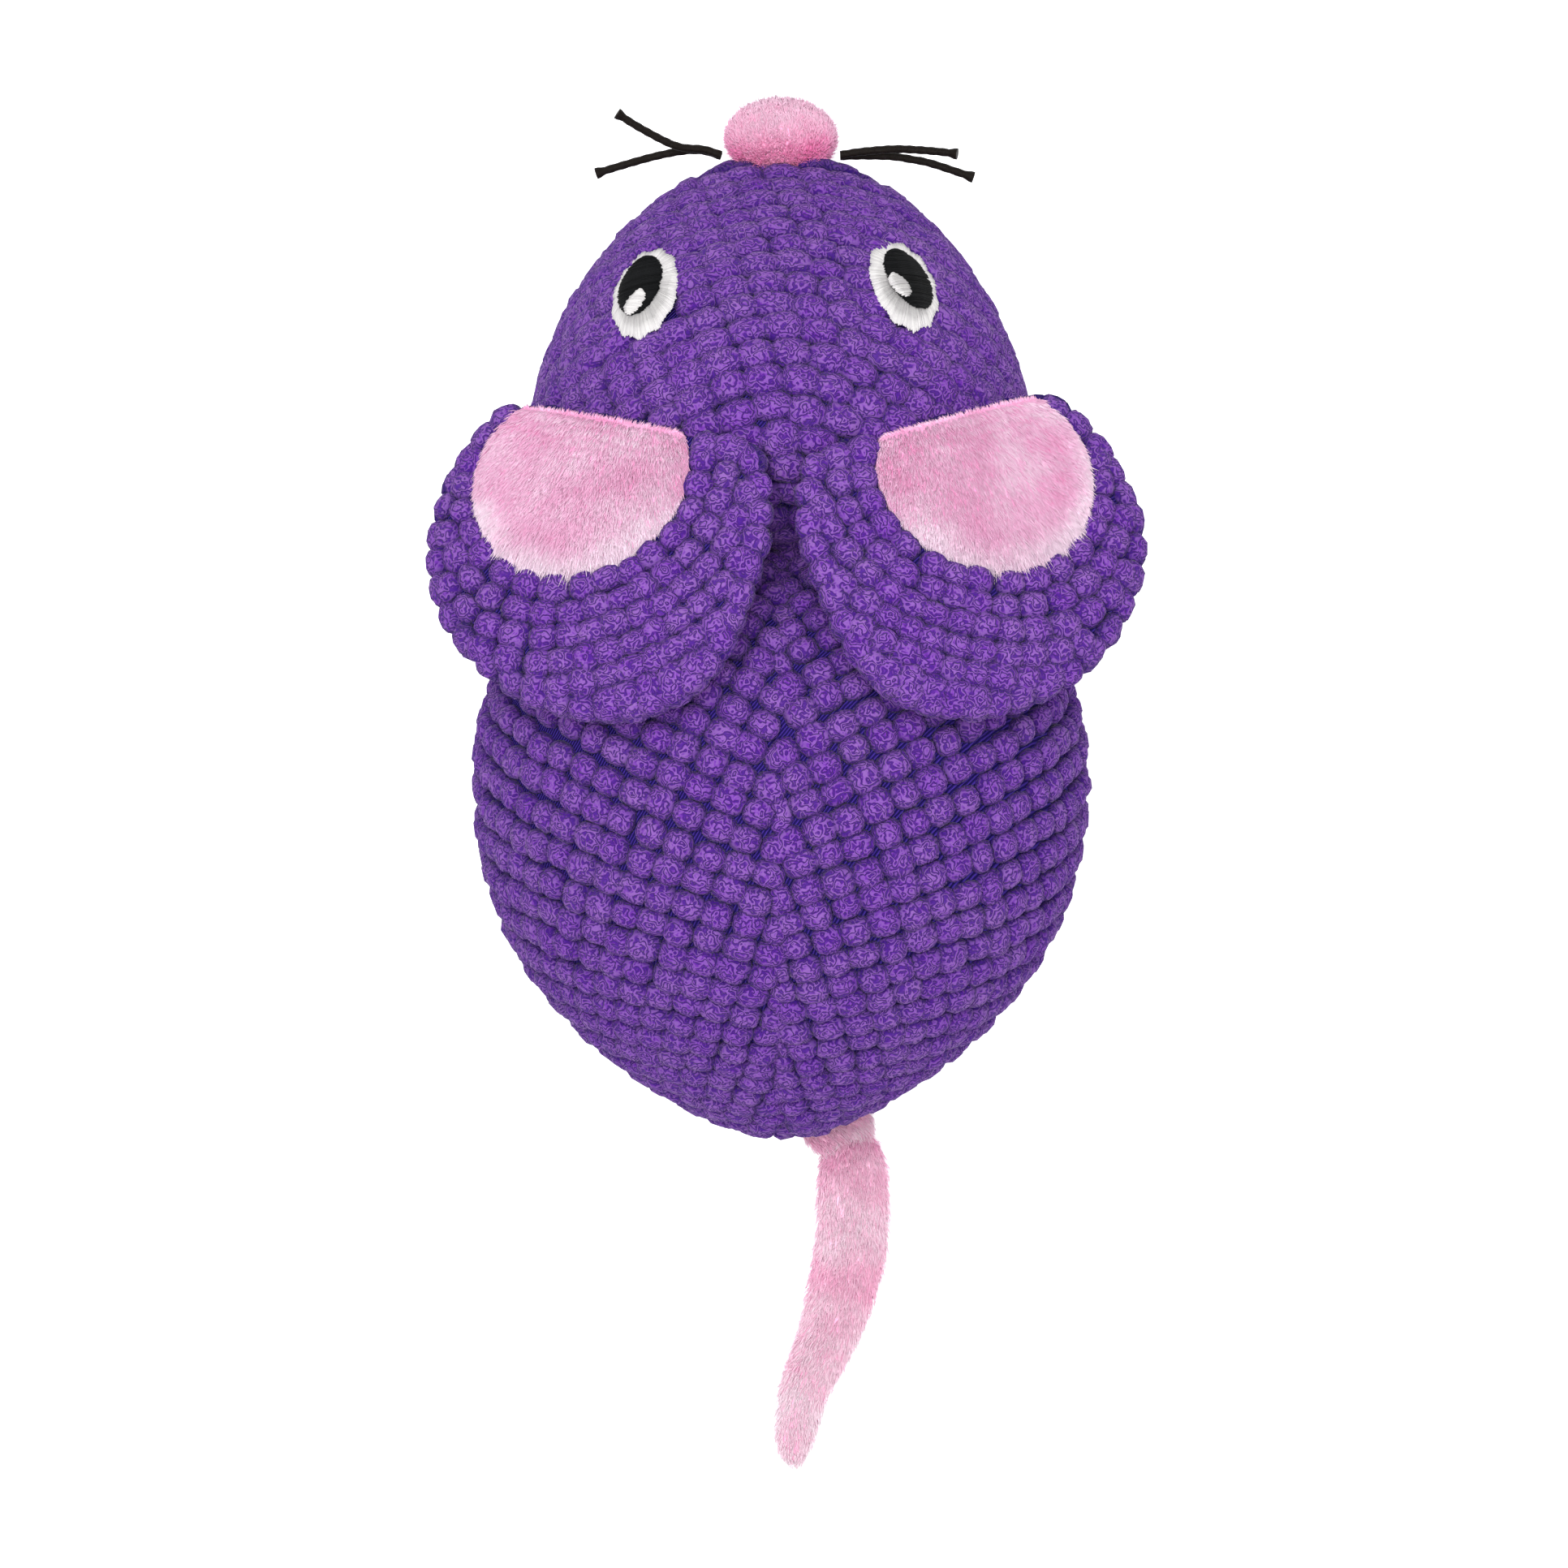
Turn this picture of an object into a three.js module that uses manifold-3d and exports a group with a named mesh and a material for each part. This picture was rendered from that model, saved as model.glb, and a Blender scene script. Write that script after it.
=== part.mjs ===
// A large catnip mouse: a stuffed toy sewn from bobble plush, with a pink plush nose, ear linings and tail,
// embroidered eyes and waxed-cord whiskers. Millimetres, +Z up, +Y towards the nose, +X the mouse's right.
// The origin lies under the body's widest part, on the flat belly that the toy rests on.

import * as THREE from "three";
import { mergeVertices } from "three/addons/utils/BufferGeometryUtils.js";
import Module from "manifold-3d";

const wasm = await Module();
wasm.setup();

// Cloth, and the gap left between pieces that are sewn or pressed together
const SEAM_GAP = 0.3;
const PLUSH_THICK = 3;
const PILE_THICK = 2.2;
const BELLY_THICK = 3;

// Bobble plush: plump bobbles in rows on a base knit. A bobble takes a pitch along its row and a row's width
// across. The cloth is cut so that its rows meet the seam on the back at a turn, in degrees, which goes from the
// first to the second of two over a stretch of that seam. The two panels start at different places in the rows.
const BOBBLE_TOP_INSET = 0.15;
const BOBBLE_PIT_INSET = 1.7;
const KNIT_INSET = 2.3;
const BODY_CLOTH = { pitch: 5.6, row: 4.8, turn: [11, 34], over: [-70, 45], left: [0, 0], right: [1.4, 1.2] };

// Body pouch, widest at BODY_WIDEST_Y and swelling above and below its waist
const BODY_WIDEST_Y = 0;
const BODY_FRONT_REACH = 45;
const BODY_REAR_REACH = 70.8;
const BODY_HALF_WIDTH = 56.8;
const BODY_WAIST_Z = 35;
const BODY_RISE = 52;
const BODY_SAG = 41;
const BODY_FRONT_TIP_Z = 36;
const BODY_REAR_TIP_Z = 22;

// Head pouch, its widest section ahead of the body's front end and its snout tip a reach further on
const NECK_TO_HEAD_WIDEST = 12;
const HEAD_FRONT_REACH = 55.8;
const HEAD_REAR_REACH = 21;
const HEAD_HALF_WIDTH = 47.5;
const HEAD_WAIST_Z = 36;
const HEAD_RISE = 44;
const HEAD_SAG = 33;
const HEAD_FRONT_TIP_Z = 26;
const HEAD_REAR_TIP_Z = 38;

// Nose, a stuffed plush ball sewn to the snout tip
const NOSE_HALF_WIDTH = 10.9;
const NOSE_HALF_LENGTH = 7.6;
const NOSE_HALF_HEIGHT = 9;
const NOSE_AHEAD = 3.6;

// Catnip sachet, in a pocket of the stuffing above the belly
const SACHET_HALF_WIDTH = 17;
const SACHET_HALF_LENGTH = 22;
const SACHET_HALF_HEIGHT = 8;

// Embroidered eyes, in layers of thread on the head
const EYE_HALF_WIDTH = 6.8;
const EYE_HALF_LENGTH = 12;
const PUPIL_HALF_WIDTH = 4.4;
const PUPIL_HALF_LENGTH = 7.8;
const GLINT_HALF_WIDTH = 1.9;
const GLINT_HALF_LENGTH = 2.9;
const THREAD_THICK = 0.7;

// Ears, padded and sewn to the top of the head along a root line
const EAR_BEHIND_SNOUT = 53;
const EAR_ROOT_ANGLE = 57;
const EAR_HALF_WIDTH = 32.6;
const EAR_HALF_LENGTH = 33;
const EAR_HALF_THICK = 6;
const EAR_ROOT_HALF_THICK = 3.6;
const EAR_CLOTH_THICK = 2.2;
const EAR_TIP_REACH = 55;
const EAR_ROLL = 24;
const EAR_PITCH = 15;
const EAR_TIP_INWARD = 6.5;
const LINING_WIDTH_SHARE = 0.63;
const LINING_LENGTH_SHARE = 0.576;
const LINING_OUTWARD_SHIFT = 5.2;
const LINING_FROM_ROOT = 11.5;

// Whiskers, lengths of waxed cord that leave beside the nose
const CORD_DIAMETER = 1.5;
const CORD_TIP_DIAMETER = 2.2;
const CORD_TIP_LENGTH = 1.8;
const WHISKER_ROOT_ANGLE = -22;
const WHISKER_SPACING = 2.3;

// Tail, a flat plush tube with a short tab that is sewn in under the rump
const TAIL_HALF_WIDTH = 6.4;
const TAIL_TIP_HALF_WIDTH = 4;
const TAIL_HALF_THICK = 2.3;
const TAIL_ROOT_HALF_WIDTH = 2.6;
const TAIL_ROOT_HALF_THICK = 1.1;
const TAIL_FLOOR_GAP = 0.3;
const TAIL_ROOT_INSET = 9.2;
const TAB_OUTWARD = 13;
const TAB_LENGTH = 9.6;
const TAIL_LENGTH = 61.4;
const TAIL_BEND = 10;

// How many faces go round and along the smaller forms
const SACHET_RINGS = [16, 8];
const POCKET_AROUND = 20;
const NOSE_RINGS = [18, 10];
const EAR_RINGS = [22, 10];
const LINING_SEGMENTS = 12;
const EYE_SEGMENTS = 10;
const CORD_STEPS = 9;
const CORD_AROUND = 8;
const TAB_RINGS = [16, 10];
const TAIL_RINGS = [16, 20];
const FLAT_STEPS = 24;
const ROW_STEPS = 24;

const FAR = 500;
const LEFT = -1;
const RIGHT = 1;
const radians = THREE.MathUtils.degToRad;
const vector = (x, y, z) => new THREE.Vector3(x, y, z);

// Solids for joining and cutting

function toSolid(geometry) {
  geometry.deleteAttribute("normal");
  geometry.deleteAttribute("uv");
  const merged = mergeVertices(geometry);
  const vertProperties = merged.getAttribute("position").array;
  const triVerts = new Uint32Array(merged.index.array);
  return new wasm.Manifold(new wasm.Mesh({ numProp: 3, vertProperties, triVerts }));
}

function toGeometry(solid) {
  const { vertProperties, triVerts } = solid.getMesh();
  const geometry = new THREE.BufferGeometry();
  geometry.setAttribute("position", new THREE.BufferAttribute(vertProperties, 3));
  geometry.setIndex(new THREE.BufferAttribute(triVerts, 1));
  geometry.computeVertexNormals();
  return geometry;
}

// A block between two corners, for trimming.
function block(low, high) {
  const size = high.map((v, i) => v - low[i]);
  const geometry = new THREE.BoxGeometry(...size);
  geometry.translate(...low.map((v, i) => v + size[i] / 2));
  return toSolid(geometry);
}

// Moves each point of a geometry to where a form puts it.
function movePoints(geometry, form) {
  const positions = geometry.getAttribute("position");
  for (let i = 0; i < positions.count; i++) {
    const placed = form(new THREE.Vector3().fromBufferAttribute(positions, i));
    positions.setXYZ(i, placed.x, placed.y, placed.z);
  }
}

// A geometry's mirror image across the middle of the toy.
function mirrored(geometry) {
  geometry.scale(-1, 1, 1);
  geometry.index.array.reverse();
  return geometry;
}

// A closed skin: rings round a form, from one end (t = -1) to the other (t = 1). The form says where
// the point at t lies whose direction round the ring is (across, up).
function skin(around, along, form) {
  const geometry = new THREE.SphereGeometry(1, around, along);
  movePoints(geometry, (p) => {
    const ring = Math.hypot(p.x, p.z) || 1;
    return form(p.y, p.x / ring, p.z / ring);
  });
  return geometry;
}

const signedPower = (value, power) => Math.sign(value) * Math.abs(value) ** power;
const fullness = (t, [power, root]) => (1 - Math.abs(t) ** power) ** root;

// Body and head are stuffed pouches. A pouch swells about its widest section and tapers to a tip in front
// and behind; side, top and under say how each outline fills out between them.

const POUCH_SECTION_POWER = 0.95;

const BODY = {
  widestY: BODY_WIDEST_Y,
  halfWidth: BODY_HALF_WIDTH,
  waistZ: BODY_WAIST_Z,
  rise: BODY_RISE,
  sag: BODY_SAG,
  front: {
    reach: BODY_FRONT_REACH,
    tipZ: BODY_FRONT_TIP_Z,
    side: [2.2, 0.5],
    top: [2.4, 0.6],
    under: [2.6, 0.6],
  },
  rear: {
    reach: BODY_REAR_REACH,
    tipZ: BODY_REAR_TIP_Z,
    side: [2.45, 0.77],
    top: [2.45, 0.7],
    under: [2.6, 0.6],
  },
  around: 28,
  along: 16,
};

const HEAD = {
  widestY: BODY_WIDEST_Y + BODY_FRONT_REACH + NECK_TO_HEAD_WIDEST,
  halfWidth: HEAD_HALF_WIDTH,
  waistZ: HEAD_WAIST_Z,
  rise: HEAD_RISE,
  sag: HEAD_SAG,
  front: {
    reach: HEAD_FRONT_REACH,
    tipZ: HEAD_FRONT_TIP_Z,
    side: [1.7, 0.52],
    top: [1.7, 0.85],
    under: [1.8, 0.7],
  },
  rear: {
    reach: HEAD_REAR_REACH,
    tipZ: HEAD_REAR_TIP_Z,
    side: [2.2, 0.5],
    top: [2.2, 0.5],
    under: [2.2, 0.5],
  },
  around: 24,
  along: 14,
};

const SNOUT_TIP = vector(0, HEAD.widestY + HEAD_FRONT_REACH, HEAD_FRONT_TIP_Z);

// The point of a pouch at t along it, in a direction round its section, with its skin moved in by inset.
function pouchPoint(pouch, t, across, up, inset) {
  const end = t > 0 ? pouch.front : pouch.rear;
  const waistZ = pouch.waistZ + (end.tipZ - pouch.waistZ) * t * t;
  const width = (pouch.halfWidth - inset) * fullness(t, end.side);
  const above = (pouch.rise - inset) * fullness(t, end.top);
  const below = (pouch.sag - inset) * fullness(t, end.under);
  return vector(
    width * signedPower(across, POUCH_SECTION_POWER),
    pouch.widestY + t * (end.reach - inset),
    waistZ + (up > 0 ? above : below) * signedPower(up, POUCH_SECTION_POWER),
  );
}

function pouchGeometry(pouch, inset) {
  return skin(pouch.around, pouch.along, (t, across, up) => pouchPoint(pouch, t, across, up, inset));
}

const pouchSolid = (pouch, inset) => toSolid(pouchGeometry(pouch, inset));

// Stuffing has half a pouch's rings, at every second one of them, so its flats lie within the cloth's.
const halfRings = (pouch) => ({ ...pouch, around: pouch.around / 2, along: pouch.along / 2 });

// A place on the head's top, a distance behind the snout tip and an angle up from its waist on one side:
// the point, and a frame there of across (outwards), ahead and out of the cloth.
function headPlace(behindSnout, angle, side) {
  const t = (HEAD_FRONT_REACH - behindSnout) / HEAD_FRONT_REACH;
  const step = 0.01;
  const at = (tt, a) => pouchPoint(HEAD, tt, side * Math.cos(radians(a)), Math.sin(radians(a)), 0);
  const point = at(t, angle);
  const ahead = at(t + step, angle).sub(at(t - step, angle)).normalize();
  const around = at(t, angle + 1).sub(at(t, angle - 1)).normalize();
  const out = ahead.clone().cross(around).multiplyScalar(-side).normalize();
  const across = ahead.clone().cross(out);
  return { point, frame: new THREE.Matrix4().makeBasis(across, ahead, out).setPosition(point) };
}

const bodyKeepOut = pouchSolid(BODY, -SEAM_GAP);
const headKeepOut = pouchSolid(HEAD, -SEAM_GAP);

// Materials

const cloth = (color, roughness = 0.95) => new THREE.MeshStandardMaterial({ color, roughness, metalness: 0 });
const bobblePlush = () => cloth(0x643a97);
const pinkPlush = () => cloth(0xe8b4cf);
const nosePlush = () => cloth(0xefa6c8);
const fibrefill = () => cloth(0xf2f0ea);
const muslin = () => cloth(0xd9cfae);
const whiteThread = () => cloth(0xe6e3e0, 0.6);
const blackThread = () => cloth(0x1b1c1e, 0.6);
const waxedCord = () => cloth(0x1d1916, 0.55);

function piece(name, geometry, material) {
  const mesh = new THREE.Mesh(geometry, material);
  mesh.name = name;
  return mesh;
}

const solidPiece = (name, solid, material) => piece(name, toGeometry(solid), material);

// Running distances along a line of points.
function distances(points) {
  let total = 0;
  return points.map((point, i) => {
    total += i > 0 ? point.distanceTo(points[i - 1]) : 0;
    return total;
  });
}

// Where a value falls in a rising list, as an index with a fraction.
function placeIn(list, value) {
  const found = list.findIndex((entry) => entry > value);
  const next = found < 0 ? list.length - 1 : Math.max(found, 1);
  const share = (value - list[next - 1]) / (list[next] - list[next - 1]);
  return next - 1 + THREE.MathUtils.clamp(share, 0, 1);
}

// The right side of a pouch laid flat at its base knit. Its sections run from the rear tip to the front; each lies
// at a distance along the seam on the back, and its directions at distances out from that seam.
function laidFlat(pouch) {
  const { lerp } = THREE.MathUtils;
  const steps = Array.from({ length: FLAT_STEPS + 1 }, (_, i) => (Math.PI * i) / FLAT_STEPS);
  const sections = steps.map((step) => -Math.cos(step)).slice(1, -1);
  const at = (t, step, inset) => pouchPoint(pouch, t, Math.sin(step), Math.cos(step), inset);
  const rings = sections.map((t) => steps.map((step) => at(t, step, KNIT_INSET)));
  const out = rings.map(distances);
  const back = distances(rings.map((ring) => ring[0]));
  const middle = back[(sections.length - 1) / 2];
  const along = back.map((distance) => distance - middle);
  const place = (outward, ahead, inset) => {
    const section = placeIn(along, ahead);
    const low = Math.min(Math.floor(section), sections.length - 2);
    const share = section - low;
    const step = lerp(placeIn(out[low], outward), placeIn(out[low + 1], outward), share);
    return at(lerp(sections[low], sections[low + 1], share), (Math.PI * step) / FLAT_STEPS, inset);
  };
  return { rings, out, along, place };
}

// Where a place along and across the rows of a cloth lies in the flat: out from the seam, and ahead along it.
function inRows({ turn, over }, alongRow, acrossRow) {
  const turnAt = (seam) => {
    const share = THREE.MathUtils.clamp((seam - over[0]) / (over[1] - over[0]), 0, 1);
    return radians(THREE.MathUtils.lerp(...turn, share));
  };
  const step = acrossRow / ROW_STEPS;
  let seam = 0;
  let slip = 0;
  for (let i = 0; i < ROW_STEPS; i++) {
    const angle = turnAt(seam);
    seam += step / Math.cos(angle);
    slip -= step * Math.tan(angle);
  }
  const outward = (alongRow + slip) * Math.cos(turnAt(seam));
  return [outward, seam + outward * Math.tan(turnAt(seam))];
}

// A sheet of bobble plush in the flat, from the tops of its bobbles to well below the cloth. Four tops are the
// corners of a square, and every second square falls to the pit between its bobbles. Tops beside the seam lie on it.
function plushSheet(cloth, [startAlong, startAcross], reach) {
  const columns = 2 * Math.ceil(reach / cloth.pitch);
  const rows = 2 * Math.ceil(reach / cloth.row);
  const slab = new THREE.BoxGeometry(columns * cloth.pitch, rows * cloth.row, 1, columns, rows, 1);
  const points = Array.from(slab.getAttribute("position").array);
  const faces = Array.from(slab.index.array);
  const upper = slab.groups[4];
  const squares = faces.splice(upper.start, upper.count);
  const tops = points.length / 3;
  for (let i = 0; i < squares.length; i += 6) {
    const [a, b, d, , c] = squares.slice(i, i + 6);
    const square = i / 6;
    const pit = points.length / 3;
    if ((square + Math.floor(square / columns)) % 2 > 0) {
      faces.push(a, b, d, b, c, d);
      continue;
    }
    const middle = [0, 1].map((axis) => (points[3 * a + axis] + points[3 * c + axis]) / 2);
    points.push(...middle, points[3 * a + 2]);
    faces.push(a, b, pit, b, c, pit, c, d, pit, d, a, pit);
  }
  const depthOf = (i) => {
    if (points[3 * i + 2] < 0) return 2 * PLUSH_THICK;
    return i < tops ? BOBBLE_TOP_INSET : BOBBLE_PIT_INSET;
  };
  const placed = Array.from({ length: points.length / 3 }, (_, i) => {
    const [outward, ahead] = inRows(cloth, points[3 * i] + startAlong, points[3 * i + 1] + startAcross);
    return [Math.abs(outward) < cloth.row / 2 ? 0 : outward, ahead, -depthOf(i)];
  });
  const sheet = new THREE.BufferGeometry();
  sheet.setAttribute("position", new THREE.Float32BufferAttribute(placed.flat(), 3));
  sheet.setIndex(faces);
  return toSolid(sheet);
}

// A pouch's wall of bobble plush down to the floor: for each side a sheet, cut in the flat to the panel's outline
// and laid over the pouch, on a core that closes the wall at the tips.
function plushWall(pouch, cloth, floorZ) {
  const { rings, out, along, place } = laidFlat(pouch);
  const edge = rings.map((ring, i) => {
    const below = ring.findIndex((point) => point.z < floorZ - SEAM_GAP);
    return new THREE.Vector2(out[i].at(below), along[i]);
  });
  const corners = [along.at(-1), along[0]].map((ahead) => new THREE.Vector2(0, ahead));
  const column = { depth: 4 * PLUSH_THICK, bevelEnabled: false };
  const outline = new THREE.ExtrudeGeometry(new THREE.Shape([...edge, ...corners]), column);
  const cutter = toSolid(outline.translate(0, 0, -3 * PLUSH_THICK));
  const reach = Math.max(...out.map((ring) => ring.at(-1))) + along.at(-1);
  const lay = (start) => {
    const sheet = toGeometry(plushSheet(cloth, start, reach).intersect(cutter));
    movePoints(sheet, (p) => place(p.x, p.y, -p.z));
    return sheet;
  };
  return pouchSolid(pouch, KNIT_INSET)
    .add(toSolid(mirrored(lay(cloth.left))))
    .add(toSolid(lay(cloth.right)))
    .subtract(pouchSolid(halfRings(pouch), PLUSH_THICK));
}

// Two half shells of a pouch, sewn together along the middle of the back.
function sidePanels(name, wall, floorZ) {
  const left = block([-FAR, -FAR, floorZ], [-SEAM_GAP / 2, FAR, FAR]);
  const right = block([SEAM_GAP / 2, -FAR, floorZ], [FAR, FAR, FAR]);
  return [
    solidPiece(`${name}_left_panel`, wall.intersect(left), bobblePlush()),
    solidPiece(`${name}_right_panel`, wall.intersect(right), bobblePlush()),
  ];
}

// Body: two side panels, a flat belly panel, the stuffing and the catnip sachet

function ellipsoid(halfSize, centre, inset, rings) {
  const [a, b, c] = halfSize.map((v) => v - inset);
  const form = (t, across, up) => {
    const ring = Math.sqrt(1 - t * t);
    return vector(a * ring * across, b * t, c * ring * up).add(centre);
  };
  return toSolid(skin(...rings, form));
}

function makeBody() {
  const belowStuffing = BELLY_THICK + SEAM_GAP;
  const wall = plushWall(BODY, BODY_CLOTH, belowStuffing);
  const belly = pouchSolid(BODY, 0).intersect(block([-FAR, -FAR, 0], [FAR, FAR, BELLY_THICK]));

  const sachetSize = [SACHET_HALF_WIDTH, SACHET_HALF_LENGTH, SACHET_HALF_HEIGHT];
  const sachetCentre = vector(0, BODY_WIDEST_Y, belowStuffing + SACHET_HALF_HEIGHT);
  const sachet = ellipsoid(sachetSize, sachetCentre, 0, SACHET_RINGS);

  const pocketDepth = 2 * SACHET_HALF_HEIGHT + SEAM_GAP;
  const pocket = new THREE.CylinderGeometry(1, 1, pocketDepth + BELLY_THICK, POCKET_AROUND);
  pocket.rotateX(Math.PI / 2);
  pocket.scale(SACHET_HALF_WIDTH + SEAM_GAP, SACHET_HALF_LENGTH + SEAM_GAP, 1);
  pocket.translate(0, BODY_WIDEST_Y, belowStuffing + (pocketDepth - BELLY_THICK) / 2);
  const stuffing = pouchSolid(halfRings(BODY), PLUSH_THICK + SEAM_GAP)
    .intersect(block([-FAR, -FAR, belowStuffing], [FAR, FAR, FAR]))
    .subtract(toSolid(pocket));

  return [
    ...sidePanels("body", wall, belowStuffing),
    solidPiece("belly_panel", belly, bobblePlush()),
    solidPiece("body_stuffing", stuffing, fibrefill()),
    solidPiece("catnip_sachet", sachet, muslin()),
  ];
}

// Head: two side panels sewn round the neck to the body, and the stuffing

function makeHead() {
  const wall = pouchSolid(HEAD, 0).subtract(pouchSolid(HEAD, PLUSH_THICK)).subtract(bodyKeepOut);
  const stuffing = pouchSolid(halfRings(HEAD), PLUSH_THICK + SEAM_GAP).subtract(bodyKeepOut);
  return [...sidePanels("head", wall, 0), solidPiece("head_stuffing", stuffing, fibrefill())];
}

// Nose: a ball of pink plush gathered over stuffing and sewn to the snout

const NOSE_SIZE = [NOSE_HALF_WIDTH, NOSE_HALF_LENGTH, NOSE_HALF_HEIGHT];
const NOSE_CENTRE = SNOUT_TIP.clone().add(vector(0, NOSE_AHEAD, 0));
const noseSolid = (inset) => ellipsoid(NOSE_SIZE, NOSE_CENTRE, inset, NOSE_RINGS);

function makeNose() {
  const cover = noseSolid(0).subtract(noseSolid(PILE_THICK)).subtract(headKeepOut);
  const stuffing = noseSolid(PILE_THICK + SEAM_GAP).subtract(headKeepOut);
  return [
    solidPiece("nose_cover", cover, nosePlush()),
    solidPiece("nose_stuffing", stuffing, fibrefill()),
  ];
}

// Eyes: an oval of white satin stitch, a black pupil over it and a white glint on the pupil. Each eye was
// embroidered by itself, so where it sits and how it is turned differ a little from side to side.

const EYES = {
  left: {
    side: LEFT,
    behindSnout: 27.6,
    angle: 53.6,
    turn: -14.7,
    pupil: { across: -1.4, ahead: 3, turn: 3.5 },
    glint: { across: -0.5, ahead: -4.6, turn: 23 },
  },
  right: {
    side: RIGHT,
    behindSnout: 26.2,
    angle: 57,
    turn: 9.1,
    pupil: { across: -1.2, ahead: 2.8, turn: -10.9 },
    glint: { across: 2.3, ahead: -2.6, turn: -22.5 },
  },
};

function oval(halfWidth, halfLength) {
  const outline = new THREE.Shape();
  outline.absellipse(0, 0, halfWidth, halfLength, 0, 2 * Math.PI);
  const reach = EYE_HALF_LENGTH;
  const through = { depth: 2 * reach, bevelEnabled: false, curveSegments: EYE_SEGMENTS };
  return new THREE.ExtrudeGeometry(outline, through).translate(0, 0, -reach);
}

// One layer of thread on the head, above the layers already there.
function threadLayer(layer, outline, frame) {
  const lift = SEAM_GAP + layer * (THREAD_THICK + SEAM_GAP);
  const sheet = pouchSolid(HEAD, -lift - THREAD_THICK).subtract(pouchSolid(HEAD, -lift));
  return sheet.intersect(toSolid(outline.applyMatrix4(frame)));
}

function makeEye(name, { side, behindSnout, angle, turn, pupil, glint }) {
  const { frame } = headPlace(behindSnout, angle, side);
  frame.multiply(new THREE.Matrix4().makeRotationZ(radians(turn)));
  const onEye = (outline, spot, from) => outline
    .rotateZ(radians(spot.turn))
    .translate(side * (from.across + spot.across), from.ahead + spot.ahead, 0);
  const middle = { across: 0, ahead: 0 };
  const white = oval(EYE_HALF_WIDTH, EYE_HALF_LENGTH);
  const black = onEye(oval(PUPIL_HALF_WIDTH, PUPIL_HALF_LENGTH), pupil, middle);
  const spot = onEye(oval(GLINT_HALF_WIDTH, GLINT_HALF_LENGTH), glint, pupil);
  return [
    solidPiece(`${name}_eye_white`, threadLayer(0, white, frame), whiteThread()),
    solidPiece(`${name}_eye_pupil`, threadLayer(1, black, frame), blackThread()),
    solidPiece(`${name}_eye_glint`, threadLayer(2, spot, frame), whiteThread()),
  ];
}

// Ears: a padded oval whose plush front has a pink lining let into it, with a plush back and wadding inside.
// An ear's own frame lies at its root: x along the root, y to the tip, z out of the lined face.

const EARS = { left: { side: LEFT, yaw: 11 }, right: { side: RIGHT, yaw: 16 } };
const EAR_OUTLINE = [2.3, 0.5];
const EAR_END = [6, 0.5];
const EAR_SIDE_POWER = 0.9;
const EAR_FACE_POWER = 0.75;
const EAR_THICKENS_UP_TO = 0.2;
const EAR_LEAN_POWER = 1.5;

function earForm(inset, side) {
  const centreY = EAR_TIP_REACH - EAR_HALF_LENGTH;
  return (t, across, up) => {
    const thicken = THREE.MathUtils.smoothstep(t, -1, EAR_THICKENS_UP_TO);
    const halfThick = EAR_ROOT_HALF_THICK + (EAR_HALF_THICK - EAR_ROOT_HALF_THICK) * thicken - inset;
    const halfWidth = (EAR_HALF_WIDTH - inset) * fullness(t, EAR_OUTLINE);
    const inward = side * EAR_TIP_INWARD * Math.max(t, 0) ** EAR_LEAN_POWER;
    return vector(
      inward + halfWidth * signedPower(across, EAR_SIDE_POWER),
      centreY + (EAR_HALF_LENGTH - inset) * t,
      halfThick * fullness(t, EAR_END) * signedPower(up, EAR_FACE_POWER),
    );
  };
}

// The lining's outline, an oval that the root line cuts off straight, as a column through the front.
function liningColumn(side, grow) {
  const outline = new THREE.Shape();
  const centreX = -side * LINING_OUTWARD_SHIFT;
  const halfWidth = LINING_WIDTH_SHARE * EAR_HALF_WIDTH + grow;
  const halfLength = LINING_LENGTH_SHARE * EAR_HALF_LENGTH + grow;
  outline.absellipse(centreX, LINING_FROM_ROOT, halfWidth, halfLength, 0, 2 * Math.PI);
  const through = { depth: FAR, bevelEnabled: false, curveSegments: LINING_SEGMENTS };
  return toSolid(new THREE.ExtrudeGeometry(outline, through));
}

function makeEar(name, { side, yaw }) {
  const ear = new THREE.Group();
  ear.name = `${name}_ear`;
  ear.position.copy(headPlace(EAR_BEHIND_SNOUT, EAR_ROOT_ANGLE, side).point);
  ear.rotation.set(radians(EAR_PITCH), radians(-side * EAR_ROLL), Math.PI + radians(side * yaw), "ZYX");
  ear.updateMatrixWorld(true);

  const toEar = ear.matrixWorld.clone().invert();
  const cutters = [BODY, HEAD].map((pouch) => toSolid(pouchGeometry(pouch, -SEAM_GAP).applyMatrix4(toEar)));
  const pad = (inset) => toSolid(skin(...EAR_RINGS, earForm(inset, side)));
  const trim = (solid) => {
    const fromRoot = solid.intersect(block([-FAR, 0, -FAR], [FAR, FAR, FAR]));
    return cutters.reduce((rest, cutter) => rest.subtract(cutter), fromRoot);
  };

  const shell = trim(pad(0).subtract(pad(EAR_CLOTH_THICK)));
  const front = shell.intersect(block([-FAR, -FAR, SEAM_GAP / 2], [FAR, FAR, FAR]));
  const back = shell.intersect(block([-FAR, -FAR, -FAR], [FAR, FAR, -SEAM_GAP / 2]));
  ear.add(
    solidPiece(`${name}_ear_front`, front.subtract(liningColumn(side, SEAM_GAP)), bobblePlush()),
    solidPiece(`${name}_ear_lining`, front.intersect(liningColumn(side, 0)), pinkPlush()),
    solidPiece(`${name}_ear_back`, back, bobblePlush()),
    solidPiece(`${name}_ear_wadding`, trim(pad(EAR_CLOTH_THICK + SEAM_GAP)), fibrefill()),
  );
  return ear;
}

// Whiskers: four lengths of cord, two a side and one above the other. A route gives points of the cord from
// its root, as millimetres outwards, ahead and up; the far end is flared where it was sealed by heat.

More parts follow.
